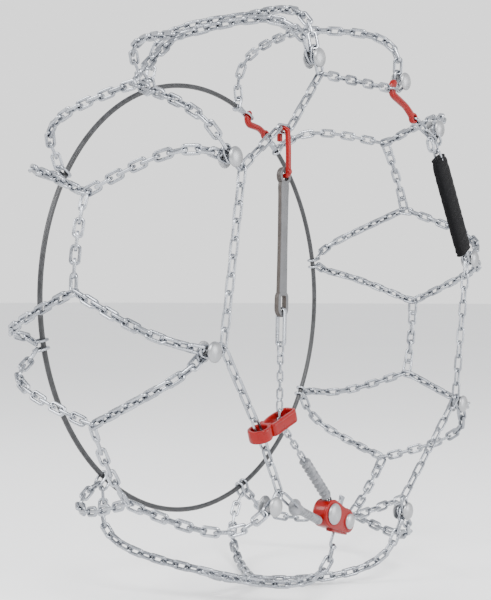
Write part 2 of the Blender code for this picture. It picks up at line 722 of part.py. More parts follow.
    # Lower chain: through the guide, along the bead sleeve and over the roller
    path = tangent_path(passage, at_depth(roller, SIDE_Y), ROLLER_RADIUS + TENSION_HALF + GAP)
    entry, chain_heading = path
    tension_flat = (chain_top, passage, entry + chain_heading * CHAIN_END)
    stations = [(point, OUT, TENSION_HALF, TENSION_HALF) for point in tension_flat]
    sweep("tension_chain_lower", stations, steel)
    offset = ROLLER_RADIUS + TENSION_HALF + GAP - BEAD_SLEEVE_RADIUS
    clear = sqrt(LOCK_ROUND_LEFT ** 2 - offset ** 2) + GAP
    sleeve_end = entry - chain_heading * clear
    sleeve_start = sleeve_end - chain_heading * BEAD_SLEEVE_LENGTH
    bead = sweep("bead_sleeve", [(point, OUT, BEAD_SLEEVE_RADIUS, BEAD_SLEEVE_RADIUS)
                                 for point in (sleeve_start, sleeve_end)], grey,
                 ROUND_SECTION, origin=sleeve_end)
    bore = TENSION_HALF * hypot(1.0, CHAIN_SECTION[1][0]) + GAP
    bore_ends = [(sleeve_start - chain_heading * 0.002, OUT, bore, bore),
                 (sleeve_end + chain_heading * 0.002, OUT, bore, bore)]
    cut(bead, as_tool(sweep("bead_bore", bore_ends, None, ROUND_SECTION)))

    lock(roller, rivet, lever_pin, tray_floor_y, tray_front_y, entry, chain_heading, heading,
         red, zinc, steel)

    # Label sleeve on the side chain between corners 7 and 8
    chord = (vertex(8) - vertex(7)).normalized()
    ends = [vertex(7) + chord * LABEL_START, vertex(7) + chord * (LABEL_START + LABEL_LENGTH)]
    label = sweep("label_sleeve", [(point, OUT, LABEL_HALF_WIDTH, LABEL_HALF_DEPTH) for point in ends],
                  black, BAR_SECTION, origin=(ends[0] + ends[1]) / 2)
    cut(label, box_tool("label_bore", ends[0] - chord * 0.002, ends[1] + chord * 0.002,
                        chord.cross(OUT), SIDE_HALF_WIDTH + GAP, OUT, SIDE_HALF_DEPTH + GAP))

    inner_hoop(slot_half, eye_slot, catch_slot, cable, red)


def lock_edge_distance(start, heading, centre, radius, half_width):
    """Distance from start along heading to a circle, for a bar of this half width."""
    heading = heading.normalized()
    to_centre = at_depth(centre, start.y) - start
    along = to_centre.dot(heading)
    aside = (to_centre - heading * along).length
    nearest = max(0.0, aside - half_width)
    return along - sqrt(radius ** 2 - nearest ** 2)


def tangent_path(start, centre, radius):
    """The point where a line from start touches the upper right of a circle, and its direction."""
    line = centre - start
    distance = line.length
    bend = acos(radius / distance)
    back = atan2(-line.z, -line.x)
    touch = back - bend
    point = centre + Vector((cos(touch), 0.0, sin(touch))) * radius
    return point, (point - start).normalized()


def tension_hook(hook_point, peg, red):
    """A bar bent over the side chain at the top and through the strap's eye at the bottom."""
    half = TENSION_HOOK_HALF
    bend = (CHAIN_PINCH_HALF * hypot(1.0, CHAIN_SECTION[1][0]) + GAP) / cos(radians(22.5)) + half
    strap_front = peg.y - STRAP_HALF_THICKNESS
    shank_y = strap_front - GAP - 0.0002 - half
    normal = Vector((1.0, 0.0, 0.0))
    centre = hook_point
    points = [centre + Vector((0.0, bend, -0.0075))]
    for angle in (0.0, 45.0, 90.0, 135.0, 180.0):
        points.append(centre + Vector((0.0, bend * cos(radians(angle)), bend * sin(radians(angle)))))
    low = peg.z
    for y, z in ((shank_y, low + 0.013), (shank_y, low + 0.0052), (shank_y + 0.0005, low + 0.0014),
                 (strap_front - 0.0002, low), (peg.y + STRAP_HALF_THICKNESS + 0.002, low)):
        points.append(Vector((peg.x, y, z)))
    stations = [(point, normal, half, HOOK_HALF_THICKNESS) for point in points]
    return sweep("tension_hook", stations, red, BAR_SECTION, origin=hook_point)


def strap_hole_radius():
    return hypot(TENSION_HOOK_HALF * 0.6, HOOK_HALF_THICKNESS) + 3 * GAP


def tension_strap(peg, down, rubber):
    """A flat rubber strap with a round eye at the top and a long one at the bottom."""
    low = peg + down * STRAP_LENGTH
    eye = STRAP_EYE_RADIUS
    slot = 0.010
    route = ((-0.95 * eye, 0.35 * eye), (-0.60 * eye, 0.80 * eye), (0.0, eye), (0.70 * eye, 0.85 * eye),
             (0.022, STRAP_HALF_WIDTH), (STRAP_LENGTH - 0.014, STRAP_HALF_WIDTH),
             (STRAP_LENGTH - 0.3 * eye, 0.85 * eye), (STRAP_LENGTH + 0.2 * eye, 0.95 * eye),
             (STRAP_LENGTH + slot, 0.95 * eye), (STRAP_LENGTH + slot + 0.55 * eye, 0.80 * eye),
             (STRAP_LENGTH + slot + 0.85 * eye, 0.40 * eye))
    stations = [(peg + down * along, OUT, half, STRAP_HALF_THICKNESS) for along, half in route]
    strap = sweep("tension_strap", stations, rubber, BAR_SECTION, origin=peg)
    cut(strap, rod_tool("strap_bore", peg - OUT * 0.01, peg + OUT * 0.01, strap_hole_radius()))
    across = down.cross(OUT)
    half_slot = PULL_LINK_HALF_WIDTH + 0.0011
    cut(strap, box_tool("strap_slot", low - OUT * 0.01 + down * slot * 0.35, low + OUT * 0.01
                        + down * slot * 0.35, across, half_slot, down, slot * 0.65))
    return low + down * (slot - LINK_WIRE / 2 - GAP)


def pull_link(top, down, steel):
    """A long flat link on edge: the strap's rim passes through it, and so does the fine chain's eye."""
    opening = STRAP_HALF_THICKNESS + GAP
    depth = opening + LINK_WIRE * 0.6
    low = top + down * PULL_LINK_LENGTH
    wire = LINK_WIRE / 2
    stations = [(top - down * wire, OUT, PULL_LINK_HALF_WIDTH, depth * 0.75),
                (top - down * wire * 0.2, OUT, PULL_LINK_HALF_WIDTH, depth),
                (low + down * wire * 0.2, OUT, PULL_LINK_HALF_WIDTH, depth),
                (low + down * wire, OUT, PULL_LINK_HALF_WIDTH, depth * 0.75)]
    link = sweep("pull_link", stations, steel, BAR_SECTION, origin=top)
    across = down.cross(OUT)
    middle = (top + low) / 2
    cut(link, box_tool("pull_slot", middle - across * 0.01, middle + across * 0.01, down,
                       PULL_LINK_LENGTH / 2 - wire, OUT, opening))
    return low


def upper_chain(link_low, down, end, steel):
    """Fine chain from the pull link down to the guide, where the closed loop is opened."""
    eye_half = PULL_LINK_HALF_WIDTH + GAP * 2 + EYE_WALL
    hole = PULL_LINK_HALF_WIDTH + GAP * 2
    wire = LINK_WIRE / 2
    eye_centre = link_low
    stations = list(reversed(rounded_end(eye_centre, -down, OUT, eye_half, wire)))
    stations += [(eye_centre + down * 0.007, OUT, eye_half, wire),
                 (eye_centre + down * 0.012, OUT, TENSION_HALF, TENSION_HALF),
                 (end, OUT, TENSION_HALF, TENSION_HALF)]
    chain = sweep("tension_chain_upper", stations, steel, origin=eye_centre)
    across = down.cross(OUT)
    cut(chain, box_tool("upper_chain_bore", eye_centre - OUT * 0.01, eye_centre + OUT * 0.01,
                        across, hole, down, wire + 2 * GAP))
    return chain


def guide_hole_radius():
    return hypot(SIDE_HALF_WIDTH, SIDE_HALF_DEPTH * 0.5) + GUIDE_SWAY_ROOM


def guide_outline(guide_point, along, axis, inset):
    """D-shaped loop: a flat front wall and a bowed back wall, in the plane across the guide's axis."""
    begin = guide_hole_radius() + GUIDE_WALL * 0.4
    start, end = begin + inset, begin + GUIDE_LOOP_LENGTH - inset
    middle = begin + GUIDE_LOOP_LENGTH / 2
    front = -GUIDE_DEPTH / 2 - 0.001 + inset
    back = GUIDE_DEPTH / 2 - 0.001 - inset
    bow = 0.004
    half = (end - start) / 2
    base = guide_point - axis * (GUIDE_HEIGHT / 2 + (0.002 if inset else 0.0))
    outline = [base + along * start + IN * front, base + along * (end - 0.004) + IN * front,
               base + along * end + IN * (front + 0.004)]
    for k in range(7):
        share = 1.0 - k / 3.0
        outline.append(base + along * (middle + half * share) + IN * (back - bow * share ** 2))
    return outline


def chain_guide(guide_point, along, axis, red):
    """Two joined loops: the small one rides on the side chain, the big one leads the fine chain."""
    hole = guide_hole_radius()
    base = guide_point - axis * GUIDE_HEIGHT / 2
    reach = axis * GUIDE_HEIGHT
    guide = prism("chain_guide", guide_outline(guide_point, along, axis, 0.0), reach, red,
                  origin=guide_point)
    small = as_tool(prism("guide_small_loop", circle(base, hole + GUIDE_WALL, along, IN, 16),
                          reach, None))
    join(guide, small)
    longer = axis * (GUIDE_HEIGHT + 0.004)
    cut(guide, as_tool(prism("guide_big_hole", guide_outline(guide_point, along, axis, GUIDE_WALL),
                             longer, None)))
    cut(guide, as_tool(prism("guide_small_hole", circle(base - axis * 0.002, hole, along, IN, 16),
                             longer, None)))
    return guide


def lock(roller, rivet, lever_pin, floor_y, front_y, entry, chain_heading, link_heading,
         red, zinc, steel):
    """Tray, cover, roller and release lever of the self-locking tensioner."""
    back_y = floor_y + LOCK_WALL
    outline = two_circle_outline(roller, LOCK_ROUND_LEFT, rivet, LOCK_ROUND_RIGHT, back_y)
    tray = prism("lock_tray", outline, OUT * LOCK_DEPTH, red)
    cavity = two_circle_outline(roller, LOCK_ROUND_LEFT - LOCK_WALL, rivet,
                                LOCK_ROUND_RIGHT - LOCK_WALL, floor_y)
    cut(tray, as_tool(prism("lock_cavity", cavity, OUT * LOCK_DEPTH, None)))

    # Ways out of the tray: fine chain, lever, side chain and the cross strand below
    slot_y = (floor_y + front_y) / 2 - 0.001
    half_slot = (floor_y - front_y) / 2 + 0.001
    rise = polar(1.0, 90.0 - LEVER_LEAN)
    lever_start = at_depth(lever_pin, slot_y)
    rivet_angle = degrees(atan2(rivet.z, rivet.x))
    last_station = diagonal(tread_ends((4, 5))[0], rivet_angle, CORNER_RADIUS, -1, (1.0,))[0]
    strand = at_depth(last_station[0], slot_y)
    middle = at_depth(rivet, slot_y)
    chain_end = entry + chain_heading * (CHAIN_END + 2 * GAP)
    ways = (("chain_way", at_depth(chain_end, slot_y), at_depth(entry - chain_heading * 0.02, slot_y),
             TENSION_HALF + 2 * GAP),
            ("lever_way", lever_start + rise * 0.004, lever_start + rise * LEVER_REACH,
             LEVER_HALF_WIDTH + LEVER_SWING_ROOM),
            ("side_way", middle, middle + link_heading * 0.02, SIDE_HALF_WIDTH + 0.0012),
            ("strand_way", middle, strand, EYE_HALF + 0.0012))
    for name, start, end, half in ways:
        across = (end - start).normalized().cross(OUT)
        cut(tray, box_tool(name, start, end, across, half, OUT, half_slot))
    for name, place, radius in (("rivet_post", rivet, RIVET_RADIUS), ("lever_post", lever_pin,
                                                                      LEVER_PIN_RADIUS)):
        post = circle(at_depth(place, floor_y + LOCK_WALL / 2), radius, Vector((1, 0, 0)),
                      Vector((0, 0, 1)), 16)
        join(tray, as_tool(prism(name, post, OUT * (LOCK_DEPTH - LOCK_WALL / 2), None)))

    # Cover with the rivet's domed head on its front
    cover_y = front_y - GAP
    cover = prism("lock_cover", [at_depth(point, cover_y) for point in outline],
                  OUT * COVER_THICKNESS, red)
    head = domed_cap(RIVET_HEAD_RADIUS, cover_y - COVER_THICKNESS, 0.0008, RIVET_HEAD_HEIGHT - 0.0008)
    head_profile = [(0.0, cover_y - COVER_THICKNESS / 2),
                    (RIVET_HEAD_RADIUS, cover_y - COVER_THICKNESS / 2)] + head[1:]
    join(cover, as_tool(turned("rivet_head", rivet, head_profile, None)))
    cut(cover, rod_tool("cover_bore", at_depth(roller, cover_y + 0.002),
                        at_depth(roller, cover_y - COVER_THICKNESS - 0.002), ROLLER_SHAFT + GAP))

    # Roller, grooved for the chain, with its shaft and domed cap in front of the cover
    wheel_back = floor_y - GAP
    wheel_front = front_y
    groove = ROLLER_RADIUS * 0.75
    lip = (wheel_back - wheel_front) * 0.16
    cap_back = cover_y - COVER_THICKNESS - GAP
    profile = [(0.0, wheel_back), (ROLLER_RADIUS, wheel_back), (ROLLER_RADIUS, wheel_back - lip),
               (groove, wheel_back - 2 * lip), (groove, wheel_front + 2 * lip),
               (ROLLER_RADIUS, wheel_front + lip), (ROLLER_RADIUS, wheel_front),
               (ROLLER_SHAFT, wheel_front), (ROLLER_SHAFT, cap_back)]
    profile += domed_cap(ROLLER_CAP_RADIUS, cap_back, CAP_RIM, ROLLER_CAP_HEIGHT - CAP_RIM)
    turned("lock_roller", roller, profile, zinc, origin=at_depth(roller, floor_y))

    # Lever: a nose at the roller, an eye on its pin and a thumb end above the lock
    lever_y = SIDE_Y + 0.0016
    pin = at_depth(lever_pin, lever_y)
    eye = LEVER_PIN_RADIUS + GAP + 0.0025
    nose_angle = radians(-50.0)
    nose = at_depth(roller, lever_y) + Vector((cos(nose_angle), 0.0, sin(nose_angle))) \
        * (ROLLER_RADIUS + 2 * GAP)
    to_pin = (pin - nose).normalized()
    route = ((nose + to_pin * 0.0012, LEVER_HALF_WIDTH * 0.4), (nose + to_pin * 0.0055, LEVER_HALF_WIDTH),
             (pin, eye), (pin + rise * 0.0075, LEVER_HALF_WIDTH * 1.1),
             (pin + rise * (LEVER_REACH - 0.006), LEVER_HALF_WIDTH),
             (pin + rise * (LEVER_REACH - 0.0015), LEVER_HALF_WIDTH * 1.25),
             (pin + rise * LEVER_REACH, LEVER_HALF_WIDTH * 0.9))
    lever = sweep("lock_lever", [(point, OUT, half, LEVER_HALF_THICKNESS) for point, half in route],
                  steel, BAR_SECTION, origin=pin)
    cut(lever, rod_tool("lever_bore", pin - OUT * 0.01, pin + OUT * 0.01, LEVER_PIN_RADIUS + GAP, 12))


def catch_slot_length():
    return 2 * HOOK_BULB_HALF + 0.0045


def hoop_angles():
    """Angles of the hoop hook's pivot and catch, and of the round cable's two ends."""
    half = degrees(HOOP_HOOK_REACH / 2 / HOOP_RADIUS)
    pivot, catch = HOOP_HOOK_ANGLE - half, HOOP_HOOK_ANGLE + half
    lead = LINK_WIRE * 1.6 + 0.006
    start = catch + degrees((catch_slot_length() + lead) / HOOP_RADIUS)
    end = pivot + 360.0 - degrees((hook_slot_length() + lead) / HOOP_RADIUS)
    return pivot, catch, start, end


def hoop_stations(radius, count=64):
    """The cable's round stretch, also used a little thicker to bore the strands' ends."""
    _, _, start, end = hoop_angles()
    return [(polar(HOOP_RADIUS, start + (end - start) * k / count, HOOP_Y), OUT, radius, radius)
            for k in range(count + 1)]


def inner_hoop(slot_half, eye_slot, catch_slot, cable, red):
    """The hoop behind the tyre: a sleeved cable whose ends are joined by a small hook."""
    pivot_angle, catch_angle, _, _ = hoop_angles()
    pivot = polar(HOOP_RADIUS, pivot_angle, HOOP_Y)
    catch = polar(HOOP_RADIUS, catch_angle, HOOP_Y)
    to_pivot = polar(1.0, pivot_angle + 90.0)
    to_catch = polar(1.0, catch_angle - 90.0)
    stations = list(reversed(slot_stations(catch, to_catch, slot_half, catch_slot)))
    stations += hoop_stations(HOOP_CABLE_RADIUS)
    stations += slot_stations(pivot, to_pivot, slot_half, eye_slot)
    hoop = sweep("inner_hoop", stations, cable, ROUND_SECTION)
    cut(hoop, slot_tool("hoop_catch_slot", catch, to_catch, slot_half, catch_slot))
    cut(hoop, slot_tool("hoop_pivot_slot", pivot, to_pivot, slot_half, eye_slot))
    latch_hook("hoop_hook", pivot, catch, polar(1.0, HOOP_HOOK_ANGLE), red, HOOK_ARM_DROP)


build()
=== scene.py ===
import json
from math import acos, atan2, cos, degrees, hypot, pi, radians, sin, sqrt

import bmesh
import bpy
import numpy as np
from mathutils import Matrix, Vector


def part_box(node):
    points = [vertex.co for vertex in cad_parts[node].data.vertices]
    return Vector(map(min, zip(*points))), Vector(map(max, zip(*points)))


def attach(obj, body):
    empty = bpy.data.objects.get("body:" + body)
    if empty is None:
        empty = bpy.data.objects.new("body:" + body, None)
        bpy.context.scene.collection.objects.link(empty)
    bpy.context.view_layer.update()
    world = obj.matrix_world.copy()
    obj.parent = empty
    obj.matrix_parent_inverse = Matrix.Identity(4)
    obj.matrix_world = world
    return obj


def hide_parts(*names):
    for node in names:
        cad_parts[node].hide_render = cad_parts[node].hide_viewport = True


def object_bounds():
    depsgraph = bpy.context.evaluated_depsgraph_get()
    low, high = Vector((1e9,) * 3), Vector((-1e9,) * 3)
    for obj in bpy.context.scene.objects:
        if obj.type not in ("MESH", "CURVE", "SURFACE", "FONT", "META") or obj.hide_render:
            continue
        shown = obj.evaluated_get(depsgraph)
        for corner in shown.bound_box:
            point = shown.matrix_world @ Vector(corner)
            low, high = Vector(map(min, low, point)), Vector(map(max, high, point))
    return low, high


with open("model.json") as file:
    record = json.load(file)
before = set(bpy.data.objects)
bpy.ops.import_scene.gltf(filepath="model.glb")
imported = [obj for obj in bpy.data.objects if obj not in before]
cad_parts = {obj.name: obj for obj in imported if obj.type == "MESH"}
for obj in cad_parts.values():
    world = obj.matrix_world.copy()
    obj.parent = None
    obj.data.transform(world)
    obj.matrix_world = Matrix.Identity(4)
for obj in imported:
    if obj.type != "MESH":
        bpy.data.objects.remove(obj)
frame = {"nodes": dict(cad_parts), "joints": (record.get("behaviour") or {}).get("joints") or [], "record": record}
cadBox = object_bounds()
joints = {joint["name"]: joint for joint in frame["joints"]}
tone = np.random.default_rng(7)
out = Vector((0.0, -1.0, 0.0))
print("frame loaded")


# Places shared by several pieces

net = {"tyreRadius": 0.316, "tyreHalfWidth": 0.110, "shoulderHeight": 0.054, "shoulderPower": 3.9,
       "lift": 0.0065, "tongue": 0.020, "runHalfSpan": 8.65, "runHold": 0.0018, "lockRunShift": -7.0,
       "hoopSpread": 0.0045, "lockReach": (0.030, 0.0, -0.012), "trayThickness": 0.0025,
       "runs": ((1, 2), (2, 3), (3, 4), (4, 5), (5, 6), (6, 7), (7, 8), (9, 1))}
crossLink = {"pitch": 0.0140, "width": 0.0116, "wire": 0.0034, "corner": 0.70, "section": 2.8,
             "turns": (45, -45)}
endLink = {"inner": 0.0150, "width": 0.0138, "wire": 0.0033, "corner": 0.95, "section": 2.3}
sideLink = {"pitch": 0.0176, "width": 0.0110, "wire": 0.0028, "corner": 0.98, "section": 2.2, "turns": (0, 90)}
fineLink = {"pitch": 0.0088, "width": 0.0074, "wire": 0.0021, "corner": 0.98, "section": 2.0,
            "turns": (45, -45)}
joinLink = dict(endLink, inner=0.0138, width=0.0130, wire=0.0034)
openLink = {"inner": 0.0180, "width": 0.0150, "wire": 0.0032, "first": -62, "sweep": 300, "tipPull": 0.0006}
rivet = {"radius": 0.0030, "play": 0.00035, "firstLevel": 0.00365, "levelStep": 0.00395, "vertexDrop": 0.01675,
         "frontGap": 0.00215}


def polar(radius, angle, y=0.0):
    return Vector((radius * cos(radians(angle)), y, radius * sin(radians(angle))))


def turn(start, end):
    return (end - start + 180.0) % 360.0 - 180.0


def atDepth(point, y):
    return Vector((point.x, y, point.z))


def angleOf(point):
    return degrees(atan2(point.z, point.x)) % 360.0


def middleOf(node):
    low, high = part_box(node)
    return (low + high) / 2


corners = {number: middleOf(f"corner_disc_{number}") for number in range(1, 10)}
cornerAngles = {number: angleOf(point) for number, point in corners.items()}
cornerRadius = hypot(corners[1].x, corners[1].z)
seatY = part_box("corner_disc_1")[1].y
# three link ends lie on each rivet
levels = [seatY - rivet["firstLevel"] - rivet["levelStep"] * level for level in range(3)]
sideY = levels[2]
vertexRadius = cornerRadius - rivet["vertexDrop"]
vertices = {number: polar(vertexRadius, angle, sideY) for number, angle in cornerAngles.items()}
hookPoint = Vector(joints["tension_hook_swing"]["pos_m"])
peg = Vector(joints["strap_swing"]["pos_m"])
guidePoint = Vector(joints["guide_rock"]["pos_m"])
roller = atDepth(Vector(joints["roller_spin"]["pos_m"]), sideY)
leverPin = Vector(joints["release_lever"]["pos_m"])
hookPivot = Vector(joints["closing_hook_swing"]["pos_m"])
hoopPivot = Vector(joints["hoop_hook_swing"]["pos_m"])
hoopRadius = hypot(hoopPivot.x, hoopPivot.z)
hoopY = hoopPivot.y
lockRivet = roller + Vector(net["lockReach"])
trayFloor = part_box("lock_tray")[1].y - net["trayThickness"]


# Finishes

# wraps a socket, so that sums of sockets read as plain arithmetic
class Value:
    def __init__(self, finish, socket):
        self.finish, self.socket = finish, socket

    def maths(self, operation, first, second):
        return self.finish.add("ShaderNodeMath", {"operation": operation}, {0: first, 1: second})

    def __add__(self, other):
        return self.maths("ADD", self, other)

    def __sub__(self, other):
        return self.maths("SUBTRACT", self, other)

    def __rsub__(self, other):
        return self.maths("SUBTRACT", other, self)

    def __mul__(self, other):
        return self.maths("MULTIPLY", self, other)

    __radd__ = __add__
    __rmul__ = __mul__


class Recipe:
    def __init__(self, tree, coordinates):
        self.tree = tree
        self.place = self.add("ShaderNodeTexCoord", output=coordinates)

    def add(self, kind, settings=None, values=None, output=0):
        node = self.tree.nodes.new(kind)
        for key, value in (settings or {}).items():
            if key == "stops":
                ramp = node.color_ramp.elements
                while len(ramp) < len(value):
                    ramp.new(0.5)
                for element, (position, colour) in zip(ramp, value):
                    element.position, element.color = position, colour
            else:
                setattr(node, key, value)
        for key, value in (values or {}).items():
            if isinstance(value, Value):
                self.tree.links.new(value.socket, node.inputs[key])
            else:
                node.inputs[key].default_value = value
        return Value(self, node.outputs[output])

    def noise(self, scale, detail):
        values = {"Vector": self.place, "Scale": scale, "Detail": detail}
        return self.add("ShaderNodeTexNoise", {}, values, "Fac")

    def spread(self, value, low, high):
        return self.add("ShaderNodeMapRange", {}, {0: value, 1: low, 2: high}, 0)

    def patches(self, scale, detail, low, high):
        return self.spread(self.noise(scale, detail), low, high)

    def colour(self, mask, first, second):
        return self.add("ShaderNodeMix", {"data_type": "RGBA"}, {0: mask, 6: first, 7: second}, 2)

    def bump(self, height, distance, strength):
        return self.add("ShaderNodeBump", {}, {"Height": height, "Distance": distance, "Strength": strength})


class Finish(Recipe):
    def __init__(self, name, **fixed):
        self.material = bpy.data.materials.new(name)
        self.material.use_nodes = True
        super().__init__(self.material.node_tree, "Object")
        self.shader = self.tree.nodes["Principled BSDF"]
        for socket, value in fixed.items():
            self.shader.inputs[socket.replace("_", " ")].default_value = value

    def use(self, **values):
        for socket, value in values.items():
            self.tree.links.new(value.socket, self.shader.inputs[socket.replace("_", " ")])
        return self.material


def rgb(red, green, blue):
    return (red, green, blue, 1.0)


def makeSteel():
    zinc = Finish("galvanisedSteel", Metallic=1.0, IOR=2.2)
    spots = zinc.patches(900.0, 4.0, 0.35, 0.68)
    clouds = zinc.patches(70.0, 2.0, 0.3, 0.7)
    link = zinc.add("ShaderNodeAttribute", {"attribute_name": "tone"}, output="Fac")
    shade = spots * 0.35 + clouds * 0.25 + link * 0.4
    colour = zinc.colour(shade, rgb(0.15, 0.16, 0.18), rgb(0.47, 0.49, 0.525))
    scratch = zinc.noise(2600.0, 2.0)
    return zinc.use(Base_Color=colour, Roughness=0.17 + spots * 0.14 + clouds * 0.07,
                    Normal=zinc.bump(scratch * 0.4 + spots * 0.6, 0.00010, 0.32))


def makeDiscSteel():
    disc = Finish("satinDiscSteel", Metallic=0.85, IOR=2.0)
    grain = disc.noise(1500.0, 3.0)
    clouds = disc.patches(45.0, 2.0, 0.3, 0.7)
    wear = disc.patches(260.0, 5.0, 0.52, 0.72)
    colour = disc.colour(clouds * 0.6 + wear * 0.4, rgb(0.27, 0.275, 0.285), rgb(0.38, 0.385, 0.395))
    return disc.use(Base_Color=colour, Roughness=0.34 + clouds * 0.08 - wear * 0.06,
                    Normal=disc.bump(grain + wear * 0.5, 0.00010, 0.35))


def makeRed():
    red = Finish("mouldedRed", IOR=1.45, Coat_Roughness=0.08, Specular_IOR_Level=0.20)
    flow = red.patches(38.0, 3.0, 0.3, 0.7)
    grain = red.noise(1300.0, 2.0)
    scuff = red.patches(330.0, 6.0, 0.60, 0.74)
    colour = red.colour(flow * 0.7 + scuff * 0.3, rgb(0.150, 0.0002, 0.0001), rgb(0.230, 0.0008, 0.0004))
    return red.use(Base_Color=colour, Roughness=0.26 + scuff * 0.22 + flow * 0.05,
                   Coat_Weight=0.16 - scuff * 0.12, Normal=red.bump(grain * 0.5 + flow * 0.8, 0.00012, 0.4))


def makeRubber():
    rubber = Finish("strapRubber", IOR=1.5)
    # painted light and shade: faces turned to the front get a lighter, lit rubber colour, and the strap's sides
    # get a darker colour as painted shade
    facing = rubber.add("ShaderNodeNewGeometry", output="Normal")
    front = rubber.add("ShaderNodeVectorMath", {"operation": "DOT_PRODUCT"},
                       {0: facing, 1: (0.0, -1.0, 0.0)}, "Value")
    mask = rubber.spread(front, 0.45, 0.85)
    dust = rubber.patches(60.0, 5.0, 0.35, 0.75)
    grain = rubber.noise(2100.0, 3.0)
    # the first colour is the lit front face, the second is the painted shade on the sides
    face = rubber.colour(dust, rgb(0.060, 0.061, 0.065), rgb(0.092, 0.093, 0.098))
    side = rubber.colour(dust, rgb(0.026, 0.019, 0.016), rgb(0.045, 0.036, 0.031))
    return rubber.use(Base_Color=rubber.colour(mask, side, face), Roughness=0.46 + dust * 0.2,
                      Normal=rubber.bump(grain, 0.00015, 0.5))


def makeSleeve():
    sleeve = Finish("sleevePlastic", IOR=1.48)
    dust = sleeve.patches(120.0, 4.0, 0.35, 0.7)
    grain = sleeve.noise(1900.0, 3.0)
    colour = sleeve.colour(dust, rgb(0.105, 0.110, 0.120), rgb(0.190, 0.195, 0.210))
    return sleeve.use(Base_Color=colour, Roughness=0.24 + dust * 0.16, Normal=sleeve.bump(grain, 0.00012, 0.5))


def makeLabelCloth():
    cloth = Finish("labelSleeveCloth", IOR=1.48, Specular_IOR_Level=0.08)
    wave = cloth.add("ShaderNodeTexWave", {"wave_type": "BANDS", "bands_direction": "DIAGONAL"},
                     {"Vector": cloth.place, "Scale": 900.0, "Distortion": 0.6}, "Fac")
    folds = cloth.patches(55.0, 3.0, 0.3, 0.7)
    dust = cloth.patches(420.0, 5.0, 0.5, 0.75)
    colour = cloth.colour(folds * 0.4 + dust * 0.6, rgb(0.0012, 0.0012, 0.0016), rgb(0.0045, 0.0045, 0.0060))
    return cloth.use(Base_Color=colour, Roughness=0.38 + folds * 0.14 + wave * 0.06,
                     Normal=cloth.bump(wave * 0.25 + folds, 0.00045, 0.5))


def makeCable():
    cable = Finish("coatedCable", IOR=1.48)
    dust = cable.patches(150.0, 4.0, 0.4, 0.7)
    grain = cable.noise(2200.0, 2.0)
    colour = cable.colour(dust, rgb(0.010, 0.0105, 0.012), rgb(0.026, 0.027, 0.030))
    return cable.use(Base_Color=colour, Roughness=0.36 + dust * 0.2,
                     Normal=cable.bump(grain + dust, 0.00015, 0.5))


finishes = {"chain_steel": makeSteel(), "disc_steel": makeDiscSteel(), "red_plastic": makeRed(),
            "strap_rubber": makeRubber(), "sleeve_plastic": makeSleeve(), "label_sleeve": makeLabelCloth(),
            "hoop_cable": makeCable()}
print("finishes made")


# Meshes

slots = {row["node"]: row["material_slot"] for row in frame["record"]["subparts"]}
bodyOf = {node: body for body, members in frame["record"]["behaviour"]["bodies"].items() for node in members}


def addObject(name, data):
    made = bpy.data.objects.new(name, data)
    bpy.context.scene.collection.objects.link(made)
    return made


def addPiece(name, node, rows, faces, tones=None, slot=None):
    data = bpy.data.meshes.new(name)
    data.from_pydata([tuple(row) for row in rows], [], faces)
    data.validate()
    data.update()
    data.polygons.foreach_set("use_smooth", [True] * len(data.polygons))
    if tones is not None:
        data.attributes.new("tone", "FLOAT", "POINT").data.foreach_set("value", np.asarray(tones, np.float32))
    piece = addObject(name, data)
    slot = slot or slots[node]
    data.materials.append(finishes[slot])
    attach(piece, bodyOf[node])
    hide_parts(node)
    return piece


def ringFaces(count, sides, closed=True, capped=False, base=0):
    faces = []
    for k in range(count if closed else count - 1):
        ring, following = base + k * sides, base + (k + 1) % count * sides
        for s in range(sides):
            t = (s + 1) % sides
            faces.append((ring + s, ring + t, following + t, following + s))
    if capped:
        faces.append(tuple(reversed(range(base, base + sides))))
        faces.append(tuple(range(base + (count - 1) * sides, base + count * sides)))
    return faces


# points round a section of half size 1; a higher power is squarer
def roundSection(sides, power=2.0):
    angles = [2 * pi * (k + 0.5) / sides for k in range(sides)]
    return np.array([(np.sign(cos(a)) * abs(cos(a)) ** (2 / power),
                      np.sign(sin(a)) * abs(sin(a)) ** (2 / power))
                     for a in angles])


